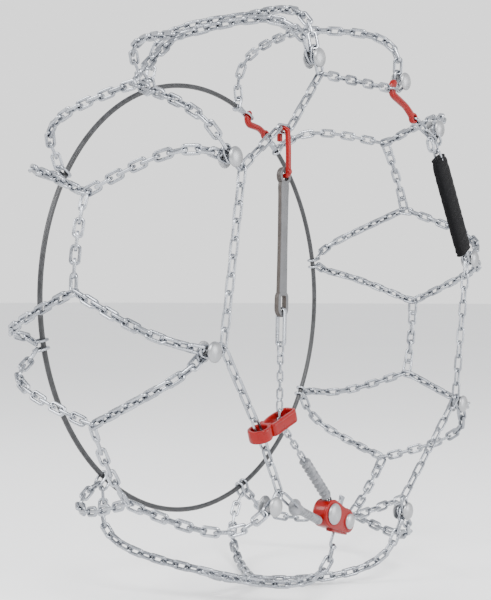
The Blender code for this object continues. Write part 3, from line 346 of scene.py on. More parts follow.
class Shape:
    def __init__(self):
        self.rows, self.faces = [], []

    # a bar through stations of (centre, normal, half width, half depth), smooth between them
    def loft(self, stations, steps=6, sides=20, power=3.2, cap=0.0, closed=False, ripple=None):
        table = np.array([[*centre, *normal, wide, deep] for centre, normal, wide, deep in stations])
        fine = smoothRows(table, steps, closed)
        count = len(fine)
        tangents = np.array([fine[(k + 1) % count if closed else min(k + 1, count - 1), :3]
                             - fine[k - 1 if closed or k else 0, :3] for k in range(count)])
        if cap and not closed:
            fine, tangents = roundEnds(fine, tangents, cap)
        section = roundSection(sides, power)
        base = len(self.rows)
        for index, (row, tangent) in enumerate(zip(fine, tangents)):
            along = Vector(tangent).normalized()
            normal = Vector(row[3:6])
            normal = (normal - along * normal.dot(along)).normalized()
            across = along.cross(normal)
            for spoke, (u, v) in enumerate(section):
                grow = ripple(index / max(1, len(fine) - 1), 2 * pi * spoke / sides) if ripple else 0.0
                place = Vector(row[:3]) + across * (u * (row[6] + grow)) + normal * (v * (row[7] + grow))
                self.rows.append(tuple(place))
        self.faces += ringFaces(len(fine), sides, closed=closed, capped=not closed, base=base)

    # a closed band: wide in the loop's plane, deep along its axis
    def loop(self, points, normal, wide, deep, **options):
        self.loft([(point, normal, wide, deep) for point in points], closed=True, **options)

    def ring(self, centre, radius, normal, wide, deep, count=16, **options):
        first = normal.orthogonal().normalized()
        second = normal.cross(first)
        points = [centre + (first * cos(2 * pi * k / count) + second * sin(2 * pi * k / count)) * radius
                  for k in range(count)]
        self.loop(points, normal, wide, deep, steps=2, **options)

    def turned(self, centre, profile, segments=36):
        base = len(self.rows)
        for radius, y in profile:
            for k in range(segments):
                a = 2 * pi * k / segments
                self.rows.append((centre.x + radius * cos(a), y, centre.z + radius * sin(a)))
        self.faces += ringFaces(len(profile), segments, closed=False, capped=True, base=base)

    # a flat plate with rounded edges; outlines are loops of points, holes included
    def plate(self, outlines, y, halfThickness, bevel):
        curve = bpy.data.curves.new("outline", "CURVE")
        curve.dimensions, curve.fill_mode = "2D", "BOTH"
        curve.extrude, curve.bevel_depth, curve.bevel_resolution = halfThickness - bevel, bevel, 2
        curve.offset = -bevel
        for loop in outlines:
            spline = curve.splines.new("POLY")
            spline.points.add(len(loop) - 1)
            for target, point in zip(spline.points, loop):
                target.co = (point.x, point.z, 0.0, 1.0)
            spline.use_cyclic_u = True
        holder = addObject("outline", curve)
        flat = bpy.data.meshes.new_from_object(holder.evaluated_get(bpy.context.evaluated_depsgraph_get()))
        base = len(self.rows)
        self.rows += [(vertex.co.x, y - vertex.co.z, vertex.co.y) for vertex in flat.vertices]
        self.faces += [tuple(base + k for k in face.vertices) for face in flat.polygons]
        bpy.data.objects.remove(holder)
        bpy.data.curves.remove(curve)
        bpy.data.meshes.remove(flat)

    def finish(self, node, name="shape", slot=None, crease=38.0):
        piece = addPiece(f"{node}.{name}", node, self.rows, self.faces, slot=slot)
        form = bmesh.new()
        form.from_mesh(piece.data)
        bmesh.ops.remove_doubles(form, verts=form.verts, dist=1e-6)
        bmesh.ops.recalc_face_normals(form, faces=form.faces)
        for edge in form.edges:
            edge.smooth = not edge.is_manifold or edge.calc_face_angle(0.0) < radians(crease)
        form.to_mesh(piece.data)
        form.free()
        return piece


# rows between the given ones, on a Catmull-Rom curve
def smoothRows(table, steps, closed):
    count = len(table)
    fine = []
    for k in range(count if closed else count - 1):
        before, start, end, after = (table[(k + shift) % count if closed else min(max(k + shift, 0), count - 1)]
                                     for shift in (-1, 0, 1, 2))
        for step in range(steps):
            t = step / steps
            fine.append(0.5 * (2 * start + (end - before) * t
                               + (2 * before - 5 * start + 4 * end - after) * t ** 2
                               + (3 * start - before - 3 * end + after) * t ** 3))
    if not closed:
        fine.append(table[-1])
    return np.array(fine)


# shrinking rows round a bar's two ends, without making it longer
def roundEnds(fine, tangents, cap):
    heads, tails = [], []
    for t in (0.12, 0.45, 0.8):
        share = 1 - (1 - t) ** 2
        for rows, index, sign in ((heads, 0, -1), (tails, -1, 1)):
            row = fine[index].copy()
            row[:3] += sign * cap * (1 - t) * tangents[index] / np.linalg.norm(tangents[index])
            row[6:] *= sqrt(share)
            rows.append(row)
    rows = np.array(heads + list(fine) + tails[::-1])
    ends = [tangents[0]] * 3 + list(tangents) + [tangents[-1]] * 3
    return rows, np.array(ends)


class Links:
    def __init__(self):
        self.rows, self.faces, self.tones = [], [], []

    # one closed link whose inner ends are at start and end
    def add(self, start, end, normal, style, roll=0.0, play=0.0003, perCorner=5, sides=10):
        along = (end - start).normalized()
        normal = (normal - along * normal.dot(along)).normalized()
        across = along.cross(normal)
        angle = radians(roll)
        facing = normal * cos(angle) + across * sin(angle)
        wide = facing.cross(along)
        wire = style["wire"]
        halfLength = (end - start).length / 2 + wire / 2 + play
        halfWidth = (style["width"] - wire) / 2
        bend = min(halfWidth, halfLength) * style["corner"]
        section = roundSection(sides, style["section"]) * wire / 2
        section[:, 1] *= style.get("deep", wire) / wire
        centre = np.array((start + end) / 2)
        axes = np.array([along, wide, facing])
        base = len(self.rows)
        rings = 0
        for quarter, (signX, signY) in enumerate(((1, 1), (-1, 1), (-1, -1), (1, -1))):
            for k in range(perCorner):
                a = pi / 2 * (quarter + k / (perCorner - 1))
                outward = np.array((cos(a), sin(a), 0.0))
                spot = np.array((signX * (halfLength - bend), signY * (halfWidth - bend), 0.0)) + outward * bend
                for u, v in section:
                    local = spot + outward * u + np.array((0.0, 0.0, v))
                    self.rows.append(centre + local @ axes)
                rings += 1
        self.faces += ringFaces(rings, sides, base=base)
        self.tones += [float(tone.random())] * (rings * sides)

    # a link like a J: its wire stops short of closing, near the end
    def addOpen(self, start, end, normal, style):
        along = (end - start).normalized()
        normal = (normal - along * normal.dot(along)).normalized()
        across = along.cross(normal)
        half, reach = (style["width"] - style["wire"]) / 2, (end - start).length / 2 + style["wire"] / 2
        centre = (start + end) / 2
        stations = []
        for k in range(19):
            a = radians(style["first"] + style["sweep"] * k / 18)
            bend = centre - along * (reach - half) if cos(a) < 0 else centre + along * (reach - half)
            stations.append((bend + along * (half * cos(a)) + across * (half * sin(a)), normal,
                             style["wire"] / 2, style["wire"] / 2))
        stations[-1:] = [(stations[-1][0] - across * style["tipPull"], normal, style["wire"] / 2,
                          style["wire"] / 2)]
        shape = Shape()
        shape.loft(stations, steps=3, sides=12, power=2.2, cap=0.0010)
        self.join(shape, 0.6)

    def run(self, points, normals, style, first=0, count=None):
        places = np.array([tuple(point) for point in points])
        facings = np.array([tuple(normal) for normal in normals])
        steps = np.concatenate(([0.0], np.cumsum(np.linalg.norm(np.diff(places, axis=0), axis=1))))
        count = count or max(1, round(steps[-1] / style["pitch"]))
        stops = np.linspace(0.0, steps[-1], count + 1)
        nodes = np.array([[np.interp(stop, steps, places[:, axis]) for axis in range(3)] for stop in stops])
        middles = (stops[1:] + stops[:-1]) / 2
        for k in range(count):
            normal = Vector([np.interp(middles[k], steps, facings[:, axis]) for axis in range(3)])
            self.add(Vector(nodes[k]), Vector(nodes[k + 1]), normal, style, style["turns"][(first + k) % 2])
        return count

    # takes in the shells of a shape, in one shade
    def join(self, shape, shade):
        base = len(self.rows)
        self.rows += [np.array(row) for row in shape.rows]
        self.faces += [tuple(base + k for k in face) for face in shape.faces]
        self.tones += [shade] * len(shape.rows)

    def finish(self, node):
        return addPiece(node + ".links", node, self.rows, self.faces, self.tones)


# Cross strands and tread runs

def liftedProfile():
    halfWidth = net["tyreHalfWidth"] + net["lift"]
    height = net["shoulderHeight"] + net["lift"]
    base = net["tyreRadius"] - net["shoulderHeight"]
    power = net["shoulderPower"]
    angle = np.linspace(0.0, pi / 2, 241)
    wide, high = np.sin(angle) ** (2 / power), np.maximum(np.cos(angle), 0.0) ** (2 / power)
    radius, across = base + height * high, halfWidth * wide
    radial, sideways = high ** (power - 1) / height, wide ** (power - 1) / halfWidth
    size = np.hypot(radial, sideways)
    rows = np.stack([radius, across, radial / size, sideways / size], axis=1)
    rows = np.vstack([rows, [base - 2 * net["tongue"], halfWidth, 0.0, 1.0]])
    arcs = np.concatenate(([0.0], np.cumsum(np.hypot(np.diff(rows[:, 0]), np.diff(rows[:, 1])))))
    return arcs, rows


profileArcs, profileRows = liftedProfile()


# from the tread's centre line to the last place on the sidewall
def halfStrand(treadAngle, endAngle, endRadius, side, count=30):
    arcEnd = float(np.interp(-(endRadius + net["tongue"]), -profileRows[:, 0], profileArcs))
    swing = turn(treadAngle, endAngle)
    points, normals = [], []
    for arc in np.linspace(0.0, arcEnd, count):
        radius, across, radial, sideways = (float(np.interp(arc, profileArcs, profileRows[:, k]))
                                            for k in range(4))
        angle = treadAngle + swing * arc / (arcEnd + net["tongue"])
        points.append(polar(radius, angle, side * across))
        normals.append(polar(radial, angle) + Vector((0.0, side * sideways, 0.0)))
    return points, normals


def treadEnds(pair):
    first, second = (cornerAngles[number] for number in pair)
    middle = first + turn(first, second) / 2 + (net["lockRunShift"] if pair == (4, 5) else 0.0)
    return middle - net["runHalfSpan"], middle + net["runHalfSpan"]


# a closed link hung on a rivet or cable; returns where the next link starts
def lastLink(links, centre, towards, normal, style=endLink):
    along = (towards - centre).normalized()
    start = centre - along * (rivet["radius"] + rivet["play"])
    end = start + along * style["inner"]
    links.add(start, end, normal, style, play=0.0)
    return end


for index, pair in enumerate(net["runs"]):
    angles = treadEnds(pair)
    for end in range(2):
        links = Links()
        corner = pair[end]
        outer = atDepth(corners[corner], levels[end])
        if pair == (4, 5) and end == 0:
            outer = atDepth(lockRivet, trayFloor - rivet["frontGap"])
        reach = max(hypot(outer.x, outer.z), cornerRadius)
        frontPoints, frontNormals = halfStrand(angles[end], angleOf(outer), reach, -1)
        hoopAngle = cornerAngles[corner] + (1 - 2 * end) * degrees(net["hoopSpread"] / hoopRadius)
        backPoints, backNormals = halfStrand(angles[end], hoopAngle, hoopRadius, 1)
        rivetEnd = lastLink(links, outer, atDepth(frontPoints[-1], outer.y), out)
        eye = polar(hoopRadius, hoopAngle, hoopY)
        hoopEnd = lastLink(links, eye, eye * 1.1 + Vector((0.0, eye.y * -0.1, 0.0)),
                           polar(1.0, hoopAngle + 90.0))
        points = [rivetEnd] + frontPoints[::-1] + backPoints[1:] + [hoopEnd]
        normals = [out] + frontNormals[::-1] + backNormals[1:] + [-out]
        if pair == (4, 5) and end == 0:
            # an open link below the lock lets this strand be unhooked
            rest = [k for k, point in enumerate(points)
                    if k > 1 and (point - rivetEnd).length > openLink["inner"]]
            near = (points[rest[0]] - rivetEnd).normalized()
            links.addOpen(rivetEnd, rivetEnd + near * openLink["inner"], out, openLink)
            points = [rivetEnd + near * openLink["inner"]] + [points[k] for k in rest]
            normals = [out] + [normals[k] for k in rest]
        links.run(points, normals, crossLink, first=index)
        links.finish(f"cross_strand_{2 * index + end + 1:02d}")
    links = Links()
    radius = net["tyreRadius"] + net["lift"]
    hold, reach = (degrees(length / radius) for length in (net["runHold"], joinLink["inner"]))
    for side, angle in ((1, angles[0]), (-1, angles[1])):
        near, far = angle + side * hold, angle + side * (hold + reach)
        links.add(polar(radius, near), polar(radius, far), polar(1.0, near), joinLink, roll=12 * side, play=0.0)
    spots = np.linspace(angles[0] + hold + reach, angles[1] - hold - reach, 12)
    links.run([polar(radius, spot) for spot in spots], [polar(1.0, spot) for spot in spots], crossLink)
    links.finish(f"tread_run_{index + 1}")
print("cross strands and tread runs made")


# Side chains

stubLink = dict(endLink, inner=rivet["vertexDrop"] + rivet["radius"] + rivet["play"])


# the link on a corner's rivet, from which a side chain starts
def cornerLinks(corner):
    links = Links()
    lastLink(links, atDepth(corners[corner], sideY), vertices[corner], out, stubLink)
    return links


def sideRun(corner, points):
    links = cornerLinks(corner)
    first = 1
    for start, end in zip(points, points[1:]):
        first += links.run([start, end], [out, out], sideLink, first=first)
    return links


spareLinks = {"length": 0.0122, "places": ((-0.0040, -0.0072, 0.25, 20), (-0.0030, 0.0068, -0.2, 70),
                                           (-0.0015, -0.0098, 0.05, 100), (-0.0010, 0.0094, -0.1, 10))}
for start, end in ((2, 3), (5, 6), (6, 7), (7, 8)):
    links = sideRun(start, [vertices[start], vertices[end]])
    if start == 7:
        # spare links hang bunched at the top of the black sleeve
        chord = (vertices[8] - vertices[7]).normalized()
        aside = chord.cross(out)
        for back, offset, lean, roll in spareLinks["places"]:
            head = vertices[8] - chord * back + aside * offset
            tail = head - (chord + aside * lean).normalized() * spareLinks["length"]
            links.add(head, tail, out, sideLink, roll=roll)
    links.finish(f"side_chain_{start}")
sideRun(3, [vertices[3], guidePoint, vertices[4]]).finish("side_chain_3")

# The chain under the tension hook: the hook holds the lower bar of one flat link
links = cornerLinks(1)
barRise = Vector((0.0, 0.0, (sideLink["width"] - sideLink["wire"]) / 2))
held = [hookPoint + barRise + Vector((side * sideLink["pitch"] / 2, 0.0, 0.0)) for side in (1, -1)]
rowLength = round((vertices[1] - held[0]).length / sideLink["pitch"])
links.run([vertices[1], held[0]], [out, out], sideLink, first=rowLength % 2, count=rowLength)
links.add(held[0], held[1], out, sideLink)
links.run([held[1], vertices[2]], [out, out], sideLink, first=1)
links.finish("side_chain_1")
print("side chains made")


# Corner discs

cornerDisc = {"plateRadius": 0.0105, "plateThickness": 0.0015, "capRadius": 0.01025, "rim": 0.0010,
              "crown": 0.0038, "neck": 0.0032, "segments": 40}


def dome(radius, back, rim, crown, steps=8):
    rows = [(radius - 0.0004, back), (radius, back - 0.0003), (radius, back - rim)]
    for k in range(1, steps + 1):
        a = pi / 2 * k / steps
        rows.append((max(radius * cos(a), 0.00002), back - rim - crown * sin(a) ** 1.15))
    return rows


stackY = seatY - cornerDisc["plateThickness"]
frontY = sideY - rivet["frontGap"]
for number, corner in corners.items():
    plate = cornerDisc["plateRadius"]
    profile = [(0.00002, seatY), (plate - 0.0005, seatY), (plate, seatY - 0.0004), (plate, stackY + 0.0004),
               (plate - 0.0004, stackY), (cornerDisc["neck"], stackY), (rivet["radius"], stackY - 0.0002),
               (rivet["radius"], frontY + 0.0002), (cornerDisc["neck"], frontY)]
    profile += dome(cornerDisc["capRadius"], frontY, cornerDisc["rim"], cornerDisc["crown"])
    shape = Shape()
    shape.turned(corner, profile, cornerDisc["segments"])
    addPiece(f"corner_disc_{number}.turned", f"corner_disc_{number}", shape.rows, shape.faces)
print("corner discs made")


# Bent, moulded and turned pieces

# a flat hook: an eye at pivot, an arm below the catch and a bulb that keeps it in
def latchHook(node, pivot, catch, outward):
    size = {"eyeHole": 0.00305, "wall": 0.0032, "bar": 0.0040, "bulb": 0.0050, "drop": 0.0080,
            "halfThickness": 0.0030}
    forward = catch - pivot
    reach = forward.length
    forward.normalize()
    side = (outward - forward * outward.dot(forward)).normalized()
    drop, bar, bulb = size["drop"], size["bar"], size["bulb"]
    tip = reach + 0.0029 + bulb
    eye = size["eyeHole"] + size["wall"]
    route = ((0.75 * eye, 0.0, bar * 1.1), (0.24 * reach, 0.0, bar), (0.45 * reach, -0.10 * drop, bar * 0.95),
             (0.72 * reach, -0.55 * drop, bar), (reach, -drop, bar * 1.05),
             (tip - 0.0022, -0.72 * drop, bar * 1.15),
             (tip, -0.1 * drop, bulb), (tip - 0.0002, 0.0035, bulb * 0.92), (tip - 0.0004, 0.0058, bulb * 0.55))
    shape = Shape()
    shape.loft([(pivot + forward * u + side * v, out, half, size["halfThickness"]) for u, v, half in route],
               cap=0.0012, power=3.6)
    shape.ring(pivot, (size["eyeHole"] + eye) / 2, out, size["wall"] / 2, size["halfThickness"], power=4.0)
    # a raised rib along the arm, as on a moulded hook
    shape.loft([(pivot + forward * u + side * v + out * 0.0028, out, half * 0.42, 0.0011)
                for u, v, half in route[1:6]], cap=0.001, power=2.4, sides=12)
    shape.finish(node)


hookLink = dict(endLink, wire=0.0030, width=0.0128)
closingFrame = {"radial": -0.0170, "along": 0.0125, "linkStop": 0.0040}
catch = polar(cornerRadius + closingFrame["radial"], cornerAngles[9], sideY) \
    + polar(closingFrame["along"], cornerAngles[9] + 90.0)
latchHook("closing_hook", hookPivot, catch, polar(1.0, cornerAngles[9]))

slotStep = {"catch": 0.0141, "eye": 0.00775, "wireCentre": 0.0018}


# the link on edge that a hook passes through; returns its other inner end
def hookedLink(links, target, fromPoint, length, style):
    along = (target - fromPoint).normalized()
    end = target - along * slotStep["wireCentre"]
    start = end - along * length
    links.add(start, end, out, style, roll=90.0, play=0.0)
    return start


links = Links()
start = hookedLink(links, catch, vertices[1], slotStep["catch"], hookLink)
links.run([start, vertices[1]], [out, out], sideLink)
links.finish("side_chain_9")

links = cornerLinks(8)
start = hookedLink(links, hookPivot, vertices[8], slotStep["eye"], hookLink)
links.run([start, vertices[8]], [out, out], sideLink)
links.finish("side_link_8")

links = Links()
centre = atDepth(corners[9], sideY)
along = (catch - centre).normalized()
links.add(centre - along * (rivet["radius"] + rivet["play"]), catch - along * closingFrame["linkStop"], out,
          endLink, play=0.0)
links.finish("side_link_9")
print("closing hook and its links made")


# Tension hook, strap, pull link and fine chain

tensioner = {"hookHalf": 0.0022, "hookDepth": 0.0030, "strapLength": 0.1250, "strapHalf": 0.0065,
             "strapDepth": 0.0030, "eye": 0.0092, "hole": 0.0050, "slot": 0.010,
             "linkLength": 0.0400, "linkSeat": 0.00215,
             "guideTilt": 18.5, "passage": 0.0340, "opening": 0.0015, "chainTop": 0.019}
guideAlong = polar(1.0, tensioner["guideTilt"])
guideAxis = polar(1.0, tensioner["guideTilt"] - 90.0)
passage = guidePoint + guideAlong * tensioner["passage"]
down = (passage - peg).normalized()
strapSide = down.cross(out)


def tensionHook():
    half, depth = tensioner["hookHalf"], tensioner["hookDepth"]
    bend = (0.0018 * hypot(1.0, 0.7) + 0.00035) / cos(radians(22.5)) + half
    strapFront = peg.y - tensioner["strapDepth"]
    shank = strapFront - 0.00055 - half
    points = [hookPoint + Vector((0.0, bend, -0.0075))]
    points += [hookPoint + Vector((0.0, bend * cos(radians(a)), bend * sin(radians(a))))
               for a in (0.0, 45.0, 90.0, 135.0, 180.0)]
    low = peg.z
    points += [Vector((peg.x, y, z)) for y, z in
               ((shank, low + 0.027), (shank, low + 0.013), (shank, low + 0.0052),
                (shank + 0.0006, low + 0.0014),
                (strapFront - 0.0002, low), (peg.y + tensioner["strapDepth"] + 0.002, low))]
    shape = Shape()
    shape.loft([(point, Vector((1.0, 0.0, 0.0)), half, depth) for point in points], cap=0.0010, power=3.0)
    # the nub on the front, where the mould is filled
    shape.turned(Vector((peg.x, 0.0, low + 0.004)), dome(0.0030, shank - half + 0.0004, 0.0006, 0.0009), 20)
    shape.finish("tension_hook")


def tensionStrap():
    length, eye, slot = tensioner["strapLength"], tensioner["eye"], tensioner["slot"]
    half, depth = tensioner["strapHalf"], tensioner["strapDepth"]
    hole = tensioner["hole"]
    shape = Shape()
    shape.ring(peg, (eye + hole) / 2, out, (eye - hole) / 2, depth, power=4.5, sides=24)
    route = ((0.0066, 0.0062), (0.0115, 0.0071), (0.022, half), (length * 0.5, half * 0.94),
             (length - 0.020, half), (length - 0.0065, 0.0068))
    shape.loft([(peg + down * along, out, wide, depth * 0.97) for along, wide in route], steps=8, power=4.5,
               sides=24, cap=0.0004)
    wall = 0.0024
    middle = 0.95 * eye - wall
    inner, outer = length - 0.0050, length + slot + 0.85 * eye - wall
    points = []
    for k in range(9):
        a = pi * k / 8
        points.append(peg + down * (outer - middle * (1 - sin(a))) + strapSide * (middle * cos(a)))
    waist = ((length + 0.004, middle), (inner, middle * 0.8))
    points += [peg + down * along - strapSide * wide for along, wide in waist]
    points += [peg + down * along + strapSide * wide for along, wide in waist[::-1]]
    shape.loop(points, out, wall, depth, steps=4, power=4.5, sides=24)
    shape.finish("tension_strap")
    return peg + down * (length + slot - tensioner["linkSeat"])


def pullLink(top):
    low = top + down * tensioner["linkLength"]
    links = Links()
    style = {"width": 0.0110, "wire": 0.0022, "deep": 0.0054, "corner": 0.9, "section": 3.4}
    links.add(top + down * 0.0018, low - down * 0.0018, out, style, roll=90.0, play=0.0, perCorner=7, sides=16)
    links.finish("pull_link")
    return low


tensionHook()
strapLow = tensionStrap()
linkLow = pullLink(strapLow)
chainTop = passage - down * tensioner["chainTop"]
links = Links()
start = linkLow - down * 0.0035
links.add(start, start + down * 0.0112, out, {"width": 0.0112, "wire": 0.0024, "corner": 0.98, "section": 2.0})
chainEnd = chainTop - down * (tensioner["opening"] + fineLink["wire"])
links.run([start + down * 0.0112, chainEnd], [out, out], fineLink)
links.finish("tension_chain_upper")


def tangentPath(start, centre, radius):
    line = centre - start
    touch = atan2(-line.z, -line.x) - acos(radius / line.length)
    point = centre + Vector((cos(touch), 0.0, sin(touch))) * radius
    return point, (point - start).normalized()


rollerSize = {"radius": 0.0065, "chainHalf": 0.0038, "play": 0.00035}
rollerPath = rollerSize["radius"] + rollerSize["chainHalf"] + rollerSize["play"]
entry, chainHeading = tangentPath(passage, roller, rollerPath)
links = Links()
count = links.run([chainTop, passage, entry], [out, out, out], fineLink)
startAngle = angleOf(entry - roller)
wrapped = [roller + polar(rollerPath * 0.82, startAngle - step) for step in (0, 30, 60, 90)]
links.run(wrapped, [out] * 4, fineLink, first=count)
links.finish("tension_chain_lower")
print("strap, pull link and fine chain made")


# Guide: a large loop for the fine chain, a small one round the side chain

guide = {"height": 0.0130, "wall": 0.0038, "loopLength": 0.0435, "depth": 0.0205, "smallHole": 0.00828}


def makeGuide():
    wall, hole = guide["wall"], guide["smallHole"]
    begin = hole + wall * 0.4
    start, end = begin + wall / 2, begin + guide["loopLength"] - wall / 2
    front, back = -guide["depth"] / 2 - 0.001 + wall / 2, guide["depth"] / 2 - 0.001 - wall / 2
    middle, half, bow = (start + end) / 2, (end - start) / 2, 0.004

    def spot(along, deep):
        return guidePoint + guideAlong * along + Vector((0.0, deep, 0.0))

    points = [spot(start + (end - 0.004 - start) * k / 6, front) for k in range(7)]
    points += [spot(end - 0.0012, front + 0.0012), spot(end, front + 0.0040)]
    for k in range(9):
        share = 1.0 - k / 4.0
        points.append(spot(middle + half * share, back - bow * share ** 2))
    points += [spot(start, front + 0.004)]
    shape = Shape()
    shape.loop(points, guideAxis, wall / 2, guide["height"] / 2, steps=4, power=5.0, sides=24)
    shape.ring(guidePoint, hole + wall / 2, guideAxis, wall / 2, guide["height"] / 2, count=24, power=5.0,
               sides=24)
    # waists that carry the walls over from the large loop to the small one
    for side in (1, -1):
        waist = ((0.0035, 0.0094), (0.0085, 0.0074), (0.0125, 0.0076), (start + 0.0050, 0.0092))
        shape.loft([(spot(along, deep * -side + (side - 1) * 0.0004), guideAxis, wall / 2,
                     guide["height"] / 2 - 0.0001)
                    for along, deep in waist], steps=5, power=5.0, sides=24, cap=0.0004)
    # rolled edges along both rims of the front wall
    for sign in (1, -1):
        rim = guideAxis * (sign * (guide["height"] / 2 - 0.0012))
        shape.loft([(spot(start + (end - 0.005 - start) * k / 4, front - wall / 2) + rim, out, 0.0010, 0.0006)
                    for k in range(5)], steps=2, power=2.0, sides=10, cap=0.001)
    shape.finish("chain_guide")


makeGuide()


# Lock: tray, cover, rivet head, roller and lever

lock = {"leftRadius": 0.0150, "rightRadius": 0.0130, "wall": 0.0025, "depth": 0.0140, "cover": 0.0030,
        "capRadius": 0.0112, "capHeight": 0.0046, "headRadius": 0.0082, "headHeight": 0.0038, "lean": 25.0,
        "leverReach": 0.0195, "leverHalf": 0.0034, "leverPin": 0.0020}


def roundedPair(left, leftRadius, right, rightRadius, y, steps=22):
    line = right - left
    heading = atan2(line.z, line.x)
    spread = acos((leftRadius - rightRadius) / hypot(line.x, line.z))
    points = []
    for centre, radius, start, end in ((left, leftRadius, spread, 2 * pi - spread),
                                       (right, rightRadius, -spread, spread)):
        points += [atDepth(centre + polar(radius, degrees(heading + start + (end - start) * k / steps)), y)
                   for k in range(steps + 1)]
    return points


def circlePoints(centre, radius, count=28):
    return [centre + polar(radius, 360.0 * k / count) for k in range(count)]


rise = polar(1.0, 90.0 - lock["lean"])
trayFront = seatY - 0.0015 - lock["depth"]
strandGap = atDepth(halfStrand(treadEnds((4, 5))[0], angleOf(lockRivet), cornerRadius, -1)[0][-1], sideY)
sideHeading = (vertices[5] - lockRivet).normalized()


def makeTray():
    wall = lock["wall"]
    y = (trayFloor + trayFront) / 2
    outline = roundedPair(roller, lock["leftRadius"] - wall / 2, lockRivet, lock["rightRadius"] - wall / 2, y)
    dense = []
    for first, second in zip(outline, outline[1:] + outline[:1]):
        pieces = max(1, round((second - first).length / 0.0012))
        dense += [first.lerp(second, k / pieces) for k in range(pieces)]
    ways = ((entry, entry - chainHeading * 0.02, 0.0046),
            (leverPin + rise * 0.004, leverPin + rise * 0.0195, 0.0066),
            (lockRivet, lockRivet + sideHeading * 0.02, 0.0063), (lockRivet, strandGap, 0.0068))

    def blocked(point):
        for start, end, half in ways:
            line = end - start
            line.y = 0.0
            offset = point - start
            offset.y = 0.0
            along = offset.dot(line) / line.length
            if -0.002 < along < line.length + 0.002 and (offset - line.normalized() * along).length < half:
                return True
        return False

    shape = Shape()
    shape.plate([roundedPair(roller, lock["leftRadius"], lockRivet, lock["rightRadius"], 0.0)],
                trayFloor + wall / 2, wall / 2, 0.0006)
    firstGap = next(k for k, point in enumerate(dense) if blocked(point))
    dense = dense[firstGap:] + dense[:firstGap]
    stretch = []
    for point in dense + [dense[0]]:
        if not blocked(point):
            stretch.append(point)
            continue
        if len(stretch) > 2:
            deep = lock["depth"] / 2 - wall / 2 + 0.0012
            shape.loft([(spot, out, wall / 2, deep) for spot in stretch], steps=1,
                       power=5.0, sides=20, cap=0.0006)
        stretch = []
    for place, radius in ((lockRivet, rivet["radius"]), (leverPin, lock["leverPin"])):
        shape.turned(place, [(radius, trayFloor + 0.0005), (radius, trayFront + 0.0003)], 24)
    shape.finish("lock_tray")


def makeCover():
    y = trayFront - 0.00035
    thick = lock["cover"]
    shape = Shape()
    right = lockRivet - Vector((0.0005, 0.0, 0.0012))
    shape.plate([roundedPair(roller, lock["leftRadius"], right, 0.0112, 0.0),
                 circlePoints(roller, 0.00285)], y - thick / 2, thick / 2, 0.0009)
    # foot under the cover, where the mould closes
    line = (lockRivet - roller).normalized()
    below = Vector((line.z, 0.0, -line.x))
    foot = [atDepth(roller + line * 0.006 + below * 0.0150, trayFront + 0.0025),
            atDepth(lockRivet + line * 0.003 + below * 0.0118, trayFront + 0.0025)]
    shape.loft([(foot[0].lerp(foot[1], k / 3), out, 0.0028, 0.0040) for k in range(4)], steps=2, power=5.0,
               cap=0.0006)
    # raised seat round the rivet and a stiffening band below
    shape.turned(lockRivet, [(0.0098, y - thick + 0.0004), (0.0098, y - thick - 0.0003),
                             (0.0094, y - thick - 0.0006), (0.0020, y - thick - 0.0006)], 36)
    shape.finish("lock_cover")
    back = y - thick - 0.0004
    head = Shape()
    cap = dome(lock["headRadius"], back, 0.0008, lock["headHeight"] - 0.0012)
    head.turned(lockRivet, [(0.0078, back)] + cap, 36)
    head.finish("lock_cover", "rivetHead", slot="disc_steel")


def makeRoller():
    wide = rollerSize["radius"]
    wheelBack, wheelFront = trayFloor - 0.00035, trayFront
    lip = (wheelBack - wheelFront) * 0.16
    capBack = trayFront - 0.0007 - lock["cover"]
    profile = [(0.00002, wheelBack), (wide - 0.0003, wheelBack), (wide, wheelBack - 0.0003),
               (wide, wheelBack - lip), (wide * 0.75, wheelBack - 2 * lip), (wide * 0.75, wheelFront + 2 * lip),
               (wide, wheelFront + lip), (wide, wheelFront + 0.0003), (wide - 0.0003, wheelFront),
               (0.0025, wheelFront), (0.0025, capBack)]
    profile += dome(lock["capRadius"], capBack, 0.0010, lock["capHeight"] - 0.0010)
    shape = Shape()
    shape.turned(roller, profile, 44)
    shape.finish("lock_roller")


def makeLever():
    y = sideY + 0.0016
    pin = atDepth(leverPin, y)
    nose = atDepth(roller, y) + polar(rollerSize["radius"] + 0.0007, -50.0)
    toPin = (pin - nose).normalized()
    half, reach = lock["leverHalf"], lock["leverReach"]
    shape = Shape()
    shape.loft([(nose + toPin * 0.0012, out, half * 0.4, 0.0015), (nose + toPin * 0.0055, out, half, 0.0015),
                (pin, out, 0.0046, 0.0015), (pin + rise * 0.0075, out, half * 1.05, 0.0015),
                (pin + rise * (reach - 0.006), out, half, 0.0015),
                (pin + rise * (reach - 0.002), out, half * 1.3, 0.0015),
                (pin + rise * (reach - 0.0006), out, half * 1.2, 0.0015)], power=5.0, cap=0.0006)
    shape.finish("lock_lever")


makeTray()
makeCover()
makeRoller()
makeLever()

links = Links()
lockStub = atDepth(lockRivet, sideY)
start = lastLink(links, lockStub, lockStub + sideHeading, out, dict(endLink, inner=0.0172))
links.run([start, vertices[5]], [out, out], sideLink, first=1)
links.finish("side_chain_lock")
print("guide and lock made")


# Sleeves

sleeve = {"beadRadius": 0.0060, "beadLength": 0.0600, "beadPitch": 0.0064, "returnRadius": 0.0046,
          "ballRadius": 0.0088, "ballDepth": 0.0046, "labelHalf": 0.0150, "labelDepth": 0.0066,
          "labelLength": 0.129, "labelStart": 0.014, "ballDrop": 0.0665, "ballAngle": 239.4,
          "aim": (-0.0107, 0.0, -0.0085)}
beadEnd = atDepth(Vector(middleOf("bead_sleeve")), sideY) + chainHeading * sleeve["beadLength"] / 2
beadStart = beadEnd - chainHeading * sleeve["beadLength"]


def beadWave(share, angle):
    wave = 0.5 + 0.5 * cos(2 * pi * share * sleeve["beadLength"] / sleeve["beadPitch"] + angle)
    return -0.0024 * (1 - wave ** 0.8)


